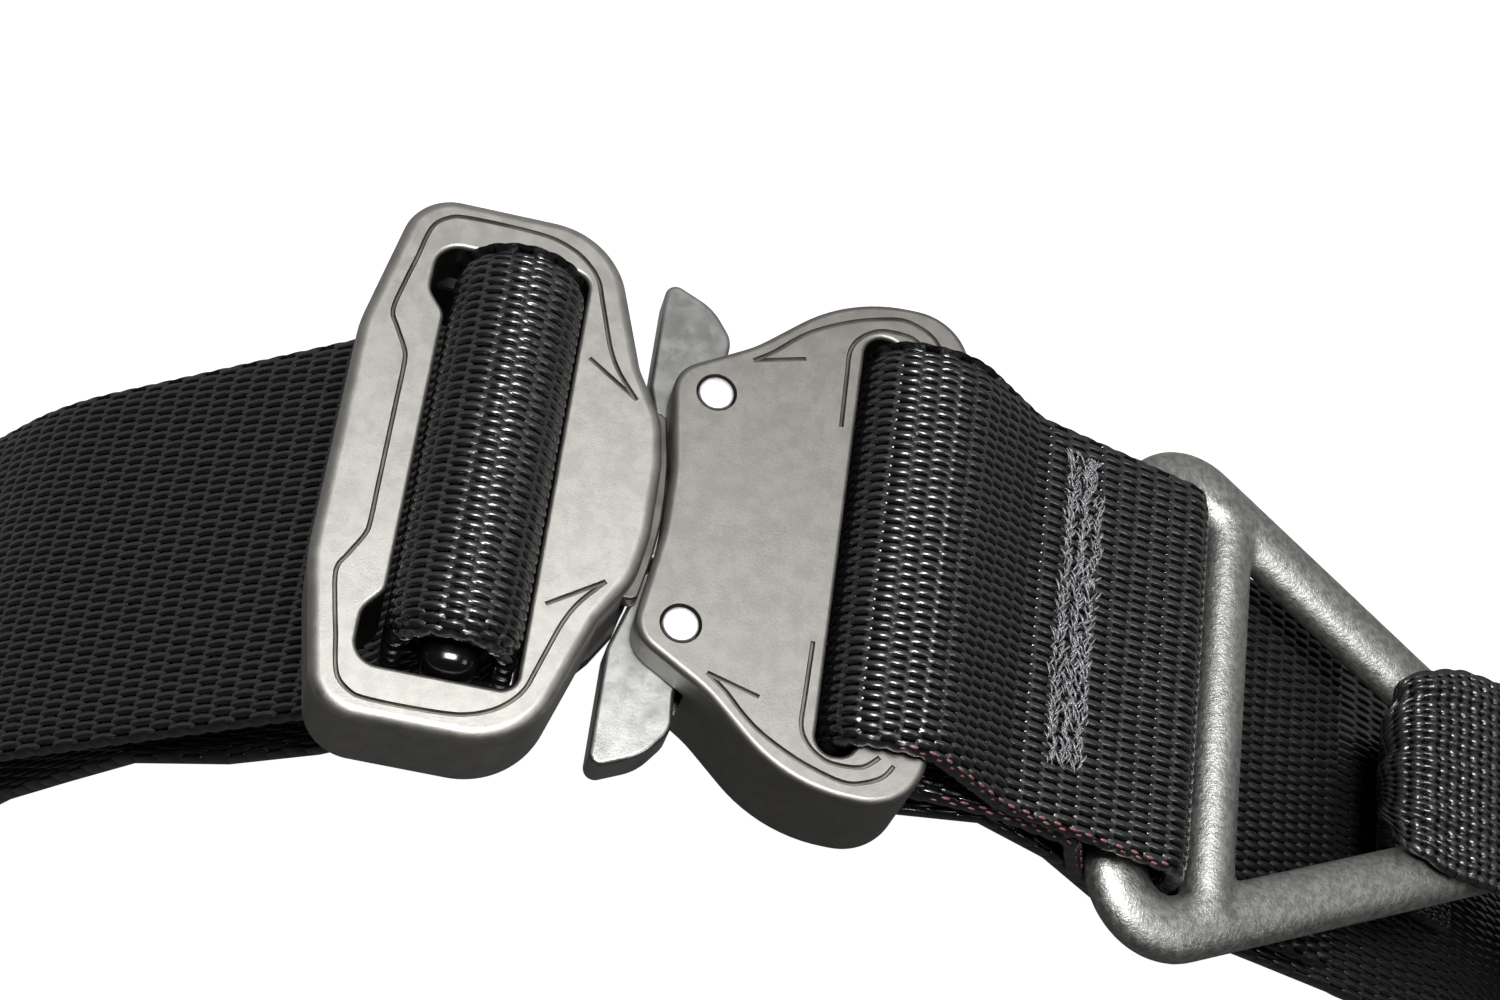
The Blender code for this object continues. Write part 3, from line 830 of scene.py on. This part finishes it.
def male_frame():
    """The adjustable half: frame, window, tongue, lip, shelf and the groove that runs round its face. Its metal is the
    satin grey painted lighter for the stronger light that falls on it; the lip, shelf, window walls and groove carry
    painted shade.
    """
    piece = even_slab("adjustable_half", MALE_OUTLINE, 0.0, -MALE_DEPTH, FACE_ROUND)
    changes = window_cuts(MALE_WINDOW, MALE_DEPTH) + tenons(0.0, CUT)
    shoulder = sorted(arc_rows(HOOK_RADIUS + GAP, HEAD_HALF, TONGUE_HALF), key=lambda row: row[1])
    half = [
        (TONGUE_START, TONGUE_HALF, 0.0),
        *shoulder,
        (HEAD_END - HEAD_BEVEL, HEAD_HALF, 0.0),
        (HEAD_END, HEAD_HALF - HEAD_BEVEL, 0.0),
    ]
    tongue = even_slab("tongue", half, LEVER_TOP, LEVER_BACK, LEVER_ROUND, 3)
    lip = even_slab("lip", MALE_LIP, MALE_LIP_TOP, MALE_LIP_BACK, MALE_LIP_ROUND, 3)
    # The lip, in the gap between the halves, carries painted shade.
    changes += [(tongue, JOIN), (coloured(lip, painted_shade_grey), JOIN)]
    # The shelf is a near black piece put in the gap where there is only shade, and it carries painted shade.
    shelf = [Vector(point) for point in MALE_SHELF]
    for outline in (other_side(shelf), shelf):
        step = slab("shelf", outline, ((MALE_SHELF_TOP, 0.0), (-MALE_DEPTH, 0.0)))
        changes.append((coloured(step, painted_shade_black), JOIN))
    whole = list(MALE_GROOVE) + mirrored(reversed(MALE_GROOVE))
    changes += [(groove(path), CUT) for path in (whole, MALE_BARB, mirrored(MALE_BARB))]
    carve(piece, changes, satin_grey_painted_lighter)
    dress(piece, satin_grey_painted_lighter, ("male_frame",))


def female_frame():
    """The fixed half: plates, lever cavity, slot, bar and the grooves of its face. The slot's walls and the grooves
    carry painted shade.
    """
    piece = even_slab("fixed_half", FEMALE_OUTLINE, 0.0, -FEMALE_DEPTH, FEMALE_ROUND)
    behind_bar = block(
        (FEMALE_SLOT[0][0] + SLOT_BAR_START, -WINDOW_HALF, -FEMALE_DEPTH - 2 * PAST),
        (FEMALE_OUTLINE[-1][0] + PAST, WINDOW_HALF, FEMALE_BAR_BACK),
    )
    levels = ((-PLATE_DEPTH, 0.0), (PLATE_DEPTH - FEMALE_DEPTH, 0.0))
    cavity = slab("cavity", rounded(both_halves(LEVER_CAVITY)), levels)
    changes = window_cuts(FEMALE_SLOT, FEMALE_DEPTH) + [(behind_bar, CUT), (cavity, CUT)]
    profile = ((BORE_RADIUS, -FEMALE_DEPTH - 2 * PAST), (BORE_RADIUS, PAST))
    changes += [(turned("hole", side, profile), CUT) for side in (-1, 1)]
    for path in (FEMALE_GROOVE, FEMALE_BARB, SLOT_GROOVE):
        changes += [(groove(line), CUT) for line in (path, mirrored(path))]
    carve(piece, changes, satin_grey)
    dress(piece, satin_grey, ("female_frame",))


def lever(name, side, body):
    """A release lever with softened edges, its hub bored for the rivet."""
    hook = arc_rows(HOOK_RADIUS, HOOK_START, TONGUE_HALF + GAP)
    outline = rounded([*LEVER_OUTLINE, *hook, *LEVER_INNER])
    if side < 0:
        outline = other_side(outline)
    piece = slab(name, outline, slab_levels(LEVER_TOP, LEVER_BACK, LEVER_ROUND, 4))
    hole = turned("bore", side, ((BORE_RADIUS, LEVER_BACK - PAST), (BORE_RADIUS, LEVER_TOP + PAST)))
    carve(piece, [(hole, CUT)], zinc)
    dress(piece, zinc, (body,), body)


def rivet(name, side, node):
    piece = turned(name, side, [(RIVET_RADIUS - slimmer, height) for slimmer, height in RIVET_PROFILE])
    dress(piece, polished, (node,), sharp=50.0)


# V-ring


def ring_point(s, y, n):
    x = RING_PLACE[0] + s * math.cos(RING_DROP) + n * math.sin(RING_DROP)
    z = RING_PLACE[1] - s * math.sin(RING_DROP) + n * math.cos(RING_DROP)
    return (x, y, z)


def v_ring():
    """The forged V-ring: one swept loop and its crossbar, melted together into soft fillets."""
    wide, deep = RING_SECTION
    rings = []
    for point, before, along in around(rounded(RING_OUTLINE)):
        outward = Vector((-along.y, along.x)) / max(0.5, along.dot(before))
        rings.append([
            ring_point(*(point + outward * (u * wide / 2)), v * deep / 2) for u, v in squarish(RING_SIDES, RING_SQUARE)
        ])
    ring_piece = loft("forged_v_ring", rings, closed=True)
    bar_rings = []
    for number in range(CROSSBAR_STEPS + 1):
        y = -CROSSBAR_HALF + 2 * CROSSBAR_HALF * number / CROSSBAR_STEPS
        reach = min(1.0, max(0.0, (abs(y) - CROSSBAR_HALF + CROSSBAR_FLARE) / CROSSBAR_FLARE))
        radius = CROSSBAR_RADIUS + CROSSBAR_FLARE * (1.0 - math.sqrt(1.0 - reach * reach))
        deep_radius = min(radius, deep / 2 + CROSSBAR_PROUD)
        bar_rings.append([
            ring_point(CROSSBAR_PLACE + radius * u, y + CROSSBAR_SHIFT, deep_radius * v) for u, v in circle(RING_SIDES)
        ])
    carve(ring_piece, [(loft("crossbar", bar_rings), JOIN)], forged)
    melt = ring_piece.modifiers.new("melt", "REMESH")
    melt.mode = "VOXEL"
    melt.voxel_size = RING_VOXEL
    soften = ring_piece.modifiers.new("soften", "SMOOTH")
    soften.factor = 0.5
    soften.iterations = RING_SOFTENING
    keep_shape(ring_piece)
    dress(ring_piece, forged, ("v_ring",), sharp=None, even=False)


# Webbing


def weave_height(weave, along, across):
    """Height from 0 to 1 of a weave, with the same lenses that its material draws."""
    lenses = []
    for shift_column, shift_row, reach_along, reach_across in weave.lenses:
        a = np.mod(along / weave.column + shift_column + 1.0, 2.0) - 1.0
        b = np.mod(across / weave.row + shift_row + weave.row_span, 2 * weave.row_span) - weave.row_span
        lenses.append(1.0 - (np.abs(a) / reach_along) ** weave.point - (np.abs(b) / reach_across) ** 2)
    return np.maximum(np.max(lenses, axis=0), 0.0) ** weave.dome


def walk(route, closed, step_at):
    """Stations along a route: distance, place and direction.

    How far it is to the next station, step_at says from the place, the way behind it and the way left.
    """
    line = np.array([tuple(point) for point in rounded(route, closed=closed, step=ROUTE_ARC)])
    if closed:
        line = np.vstack([line, line[:1]])
    apart = np.linalg.norm(np.diff(line, axis=0), axis=1) > 1e-6
    line = line[np.concatenate([[True], apart])]
    steps = np.diff(line, axis=0)
    lengths = np.linalg.norm(steps, axis=1)
    reached = np.concatenate([[0.0], np.cumsum(lengths)])
    directions = steps / lengths[:, None]
    first, last = directions[:1], directions[-1:]
    if closed:
        first = last = first + last
    turns = np.vstack([first, directions[:-1] + directions[1:], last])
    turns /= np.linalg.norm(turns, axis=1)[:, None]
    total = reached[-1]
    stops = [0.0]
    while stops[-1] < total - 1e-6:
        here = stops[-1]
        spot = [np.interp(here, reached, line[:, axis]) for axis in (0, 1)]
        stops.append(min(total, here + step_at(spot, here, total - here)))
    if closed:
        stops.pop()
    stops = np.array(stops)
    places, facing = [
        np.stack([np.interp(stops, reached, rows[:, axis]) for axis in (0, 1)], axis=1) for rows in (line, turns)
    ]
    facing /= np.linalg.norm(facing, axis=1)[:, None]
    return stops, places, facing, total


def fade_in(stops, plain):
    """How far the weave has risen at each station: it rises behind plain webbing, and falls before it."""
    if not len(plain):
        return np.ones(len(stops))
    number = np.searchsorted(plain, stops)
    before = np.where(number > 0, plain[np.maximum(number - 1, 0)], -FAR_AWAY)
    after = np.where(number < len(plain), plain[np.minimum(number, len(plain) - 1)], FAR_AWAY)
    return np.clip((stops - before) / FADE_IN, 0.0, 1.0) * np.clip((after - stops) / FADE_OUT, 0.0, 1.0)


def band(name, node, material, route, half_at, thick, cells, step_at, closed=False, weave=FLOATS,
         nominal=WEB_HALF, wave=None, pitch_at=lambda place: WEB_COLUMN, sink_at=lambda place: WEB_SINK,
         centre_at=lambda place: 0.0):
    """Webbing along a route, its near stretches woven in the mesh itself, the rest left to the material.

    Where the webbing is packed closer, pitch_at gives the local width of a column, and the weave follows it.
    """
    stops, places, facing, total = walk(route, closed, step_at)
    woven = np.array([float(step_at(place, stop, total - stop) < FAR_STEP) for stop, place in zip(stops, places)])
    woven *= fade_in(stops, stops[woven == 0.0])
    packing = WEB_COLUMN / np.array([pitch_at(place) for place in places])
    yarn = np.concatenate([[0.0], np.cumsum(np.diff(stops) * (packing[1:] + packing[:-1]) / 2)])
    if closed:
        whole = yarn[-1] + (total - stops[-1]) * packing[0]
        yarn *= max(1, round(whole / (2 * WEB_COLUMN))) * 2 * WEB_COLUMN / whole
    halves = np.array([half_at(place) for place in places])
    count = len(stops)
    risen = woven[:, None]

    fraction = np.linspace(1.0, -1.0, cells + 1)[None, :]
    front_y = fraction * (halves[:, None] - WEB_EDGE)
    front_v = np.broadcast_to(fraction * nominal, front_y.shape)
    rise = weave_height(weave, np.broadcast_to(yarn[:, None], front_y.shape), front_v) * WEB_RELIEF * risen
    sink = np.array([sink_at(place) for place in places])[:, None] * risen
    droop = np.clip((np.abs(fraction) - WEB_DROOPS_FROM) / (1.0 - WEB_DROOPS_FROM), 0, 1) ** 2
    front_n = thick / 2 - RELIEF_SUNK * WEB_RELIEF * risen + rise - droop * sink
    bulge = WEB_SCALLOP * np.abs(np.sin(math.pi * yarn / WEB_COLUMN)) ** WEB_SCALLOP_POWER * woven
    back = np.linspace(-1.0, 1.0, WEB_BACK_CELLS + 1)[None, :]
    back_y = back * (halves[:, None] - WEB_EDGE)

    # Each part: y, height out of the webbing's middle, place across the weave, how far the weave has risen
    parts = [(front_y, front_n, front_v, np.broadcast_to(risen, front_y.shape))]
    for side in (-1, 1):
        for share, level in EDGE_PROFILE[::-side]:
            edge_y = side * (halves - WEB_EDGE + share * (WEB_EDGE + bulge))
            edge = (edge_y, np.full(count, level * thick), np.full(count, side * (nominal - WEB_EDGE_CLOTH)), woven)
            parts.append([column[:, None] for column in edge])
        if side < 0:
            back_v = np.broadcast_to(back * nominal, back_y.shape)
            parts.append((back_y, np.full(back_y.shape, -thick / 2), back_v, np.zeros(back_y.shape)))
    y, n, v, mark = [np.concatenate(columns, axis=1) for columns in zip(*parts)]
    if wave:
        n = n + wave(places, y)
    y = y + np.array([centre_at(place) for place in places])[:, None]
    points = np.stack([places[:, :1] - facing[:, 1:] * n, y, places[:, 1:] + facing[:, :1] * n], axis=2)

    index = np.arange(y.size).reshape(y.shape)
    first, second = (index, np.roll(index, -1, axis=0)) if closed else (index[:-1], index[1:])
    quads = np.stack([first, np.roll(first, -1, axis=1), np.roll(second, -1, axis=1), second], axis=2)
    faces = quads.reshape(-1, 4).tolist()
    if not closed:
        faces += [index[0, ::-1].tolist(), index[-1].tolist()]
    mesh = bpy.data.meshes.new(name)
    mesh.from_pydata(points.reshape(-1, 3).tolist(), [], faces)
    carried = mesh.attributes.new("cloth", "FLOAT_VECTOR", "POINT")
    cloth = np.stack([np.broadcast_to(yarn[:, None], y.shape), v, mark], axis=2)
    carried.data.foreach_set("vector", cloth.reshape(-1).astype(np.float32))
    shape = bmesh.new()
    shape.from_mesh(mesh)
    bpy.data.meshes.remove(mesh)
    dress(finished(name, shape), material, (node,), sharp=70.0, even=False)


def share_of(value, low, high):
    return min(1.0, max(0.0, (value - low) / (high - low)))


def ease(value, low, high):
    share = share_of(value, low, high)
    return share * share * (3 - 2 * share)


def between(ends, share):
    return ends[0] + (ends[1] - ends[0]) * share


def belt_half(place):
    return between((WEB_HALF, WEB_HALF_ON_BAR), share_of(place[1], *BAR_SQUEEZES))


def eased(axis, ends, values):
    """A measure that goes from one value to the other between two places along an axis."""
    return lambda place: between(values, ease(place[axis], *ends))


# Columns lie close together round the adjuster bar and in the slot, and stretched on the strap
belt_pitch = eased(1, BAR_PACKS, BELT_PITCH)
link_pitch = eased(0, LINK_PACKS, LINK_PITCH)


def belt_step(spot, here, left):
    """Fine where the camera sees the belt from close by: before and round the adjuster bar."""
    if BELT_FINE[0] < left < BELT_FINE[1]:
        returning = left < BELT_RETURN and spot[1] < BELT_RETURN_DEPTH
        return HIDDEN_STEP if returning else belt_pitch(spot) / BELT_STEPS
    return BELT_RING_STEP if BELT_BEHIND_RING[0] < here < BELT_BEHIND_RING[1] else BELT_PLAIN_STEP


def link_step(spot, *_):
    """Fine on the side that the camera sees."""
    bend, depth, slope = LINK_BACK
    front = LINK_SLOT_BACK if spot[0] < bend else depth - slope * (spot[0] - bend)
    return link_pitch(spot) / LINK_STEPS if spot[1] > front else HIDDEN_STEP


def keeper_half(place):
    """The tape is squeezed inside the ring, and opens again before and behind it."""
    x, depth = place[0], -place[1]
    if x <= KEEPER_ROUTE[0][0] and depth >= KEEPER_NARROWS[1]:
        return between((KEEPER_IN_RING, KEEPER_SQUEEZED), ease(depth, *KEEPER_WIDENS))
    half = between((KEEPER_SQUEEZED, KEEPER_HALF), ease(x, *KEEPER_OPENS))
    return between((half, KEEPER_IN_RING), ease(depth, *KEEPER_NARROWS) if x < KEEPER_BEND_END else 0.0)


def keeper_step(spot, *_):
    return KEEPER_STEP if spot[1] > KEEPER_PLAIN_DEPTH else KEEPER_PLAIN_STEP


def keeper_wave(places, y):
    """Gathers that fan out from the fold and die away along the tape."""
    start, fading, lowest = KEEPER_GATHERS
    near_fold = np.exp(-np.maximum(places[:, 0] - start, 0.0) / fading) * (places[:, 1] > lowest)
    ripple = sum(height * np.cos(2 * math.pi * y / length + turn) for height, length, turn in KEEPER_RIPPLES)
    return near_fold[:, None] * ripple


# Stitches and tracer yarns


def link_front(x):
    """Height of the link's front surface above a place along the belt."""
    corners = LINK_ROUTE[2:4]
    slope = (corners[1][1] - corners[0][1]) / (corners[1][0] - corners[0][0])
    rise = WEB_THICK / 2 / math.cos(math.atan(slope))
    return corners[0][1] + slope * (x - corners[0][0]) + rise


def strand(shape, start, end, radius, lift, sides=6):
    """Adds one stitch to a bmesh: a thin bowed thread between two points, in the buckle's frame."""
    start, end = Vector(start), Vector(end)
    up = Vector(STRAND_UP).normalized()
    side = (end - start).normalized().cross(up).normalized()
    rings = []
    for step in range(STRAND_STEPS + 1):
        share = step / STRAND_STEPS
        bow = math.sin(math.pi * share)
        centre = start.lerp(end, share) + up * (lift * bow)
        thick = radius * between((STRAND_TIP, 1.0), bow)
        rings.append([centre + side * thick * u + up * thick * v for u, v in circle(sides)])
    skin(shape, rings)


def bar_tack():
    """The bar of stitches that holds the link to the belt: close strands in slightly slanting columns."""
    chance = random.Random(4)
    shape = bmesh.new()
    for bundle in TACK_COLUMNS:
        for layer in range(TACK_LAYERS):
            y = TACK_LOW + chance.uniform(*STITCH_START)
            while y < TACK_HIGH:
                length = chance.uniform(*STITCH_LENGTH)
                x = bundle + chance.gauss(0.0, STITCH_SCATTER)
                if y > TACK_SHIFT_FROM and bundle == TACK_COLUMNS[-1]:
                    x -= TACK_SHIFT
                end_x = x + chance.choice((-1, 1)) * chance.uniform(*STITCH_SLANT)
                end_y = min(TACK_HIGH + STITCH_PAST, y + length)
                lift = TACK_LIFTS[0] + TACK_LIFTS[1] * layer
                strand(
                    shape, (x, y, link_front(x) + lift), (end_x, end_y, link_front(end_x) + lift),
                    chance.uniform(*STITCH_RADIUS), chance.uniform(*STITCH_BOW), sides=5,
                )
                y += length * chance.uniform(*STITCH_ADVANCE)
    dress(finished("bar_tack", shape), tack_thread, sharp=None, even=False)


def tracer_yarns():
    """Rose yarn showing as short dashes along the lower edge of both layers of the link."""
    shape = bmesh.new()
    _, places, facing, _ = walk(LINK_ROUTE, True, lambda *_: TRACER_STEP)
    edge_y = -(WEB_HALF - 0.1)
    for number, (place, way) in enumerate(zip(places, facing)):
        spans = [low < place[0] < high and place[1] > lowest for low, high, lowest in (TRACER_FRONT, TRACER_BACK)]
        outer, back = way[0] > 0.2 and spans[0], way[0] < 0.0 and spans[1]
        if not (outer or back) or number % 4 in (1, 3):
            continue
        normal = Vector((-way[1], 0.0, way[0]))
        along = Vector((way[0], 0.0, way[1]))
        middle = Vector((place[0], edge_y, place[1]))
        level = TRACER_LEVELS[number % 4 // 2]
        if back:
            level = -level
        middle += normal * level + Vector((0.0, -0.1 if abs(level) < 0.7 else 0.05, 0.0))
        strand(shape, middle - along * TRACER_HALF, middle + along * TRACER_HALF, TRACER_RADIUS, 0.0)
    dress(finished("link_tracer", shape), tracer_thread, sharp=None, even=False)


# Adjuster bar


def adjuster_bar():
    """The gloss black bar that the webbing turns round, with its tenons and end cheeks."""
    rings = []
    for y, amount in [(-y, amount) for y, amount in reversed(BAR_NOSE)] + list(BAR_NOSE):
        wide, deep = (size - amount for size in BAR_SIZE)
        rings.append([
            (BAR_CENTRE[0] + wide * u, y, BAR_CENTRE[1] + deep * v) for u, v in squarish(BAR_SIDES, BAR_SQUARE)
        ])
    bar = loft("gloss_bar", rings)
    outline = [Vector(point) for point in CHEEK_OUTLINE]
    levels = (
        (CHEEK_TOP, CHEEK_EDGE), (CHEEK_TOP - CHEEK_EDGE, 0.0), (CHEEK_BACK + CHEEK_EDGE, 0.0), (CHEEK_BACK, CHEEK_EDGE)
    )
    changes = tenons(GAP, JOIN)
    changes += [(slab("cheek", line, levels), JOIN) for line in (other_side(outline), outline)]
    carve(bar, changes, bar_gloss)
    dress(bar, bar_gloss, ("adjuster_bar",))


male_frame()
female_frame()
lever("release_lever_low", 1, "lever_bottom")
lever("release_lever_high", -1, "lever_top")
rivet("rivet_head_low", 1, "rivet_bottom")
rivet("rivet_head_high", -1, "rivet_top")
adjuster_bar()
v_ring()
band(
    "link_strap", "link_webbing", nylon, LINK_ROUTE, lambda place: WEB_HALF, WEB_THICK,
    cells=328, step_at=link_step, closed=True, pitch_at=link_pitch, sink_at=eased(0, LINK_SINKS, LINK_SINK),
)
band(
    "belt_strap", "belt_webbing", nylon, BELT_ROUTE, belt_half, WEB_THICK,
    cells=224, step_at=belt_step, pitch_at=belt_pitch, sink_at=eased(1, BAR_SINKS, BELT_SINK),
    centre_at=eased(1, BAR_PACKS, (0.0, WEB_SHIFT_ON_BAR)),
)
band(
    "ring_backing_strap", "ring_backing", backing_nylon, BACKING_ROUTE, lambda place: BACKING_HALF,
    WEB_THICK, cells=216, step_at=lambda *_: BACKING_STEP, weave=BACKING_FLOATS, nominal=BACKING_NOMINAL,
)
band(
    "keeper_tape", "ring_keeper", tape, KEEPER_ROUTE, keeper_half, TAPE_THICK,
    cells=156, step_at=keeper_step, weave=BASKET, nominal=KEEPER_HALF, wave=keeper_wave,
)
bar_tack()
tracer_yarns()


# Floor, light and camera


def floor():
    mesh = bpy.data.meshes.new("floor")
    corners = ((-1, -1), (1, -1), (1, 1), (-1, 1))
    mesh.from_pydata([(x * FLOOR_HALF, y * FLOOR_HALF, 0.0) for x, y in corners], [], [(0, 1, 2, 3)])
    plane = link("floor", mesh)
    plane.location.z = -FLOOR_DROP
    material, tree, shader = new_material("white floor", 0.0, 0.9, 0.0)
    seen = add(tree, "LightPath").outputs["Is Camera Ray"]
    fed(
        tree, shader, Emission_Color=WHITE, Emission_Strength=spread(tree, seen, 0.0, 1.0, FLOOR_GLOW, 1.0),
        Base_Color=blend_colour(tree, speckle(tree, own_place(tree), 3.0), (0.6, 0.6, 0.6), (0.62, 0.62, 0.62)),
    )
    mesh.materials.append(material)


def area_light(name, place, aim, size, power):
    """A soft light whose place and aim are given in the buckle's frame."""
    data = bpy.data.lights.new(name, "AREA")
    data.shape = "RECTANGLE"
    data.size, data.size_y = size
    data.energy = power
    lamp = link(name, data)
    lamp.location = TO_WORLD @ Vector(place)
    lamp.rotation_euler = (TO_WORLD @ Vector(aim) - lamp.location).to_track_quat("-Z", "Y").to_euler()


def surroundings():
    """A white studio: dark towards the camera's side, bright behind the belt, plain white where it is seen."""
    world = bpy.data.worlds.new("studio")
    bpy.context.scene.world = world
    world.use_nodes = True
    tree = world.node_tree
    ways = add(tree, "SeparateXYZ", Vector=add(tree, "TexCoord").outputs["Generated"]).outputs
    seen = add(tree, "LightPath").outputs["Is Camera Ray"]
    shed = spread(tree, ways["Y"], -0.2, 0.8, FRONT_GLOW, BACK_GLOW)
    unseen = calc(tree, "MULTIPLY", shed, calc(tree, "SUBTRACT", 1.0, seen))
    fed(tree, tree.nodes["Background"], Color=WHITE, Strength=calc(tree, "ADD", unseen, seen))


def camera():
    rx, ry, rz = [math.radians(angle) for angle in CAMERA_TURN]
    turn = Matrix.Rotation(rz, 3, "Z") @ Matrix.Rotation(ry, 3, "Y") @ Matrix.Rotation(rx, 3, "X")
    right, down, forward = axes = turn @ Matrix(((1, 0, 0), (0, -1, 0), (0, 0, -1)))
    local = Matrix((right, -down, -forward)).transposed().to_4x4()
    local.translation = -(axes.transposed() @ Vector(CAMERA_SHIFT)) * MM
    data = bpy.data.cameras.new("camera")
    data.sensor_width = 36.0
    data.lens = data.sensor_width * CAMERA_FOCAL / PHOTO_WIDTH
    data.clip_start = 0.01
    viewer = link("camera", data)
    viewer.matrix_world = BUCKLE @ local
    bpy.context.scene.camera = viewer


floor()
surroundings()
for lamp, row in LIGHTS.items():
    area_light(lamp, *row)
camera()

scene = bpy.context.scene
scene.view_settings.view_transform = "Standard"
scene.view_settings.look = "None"
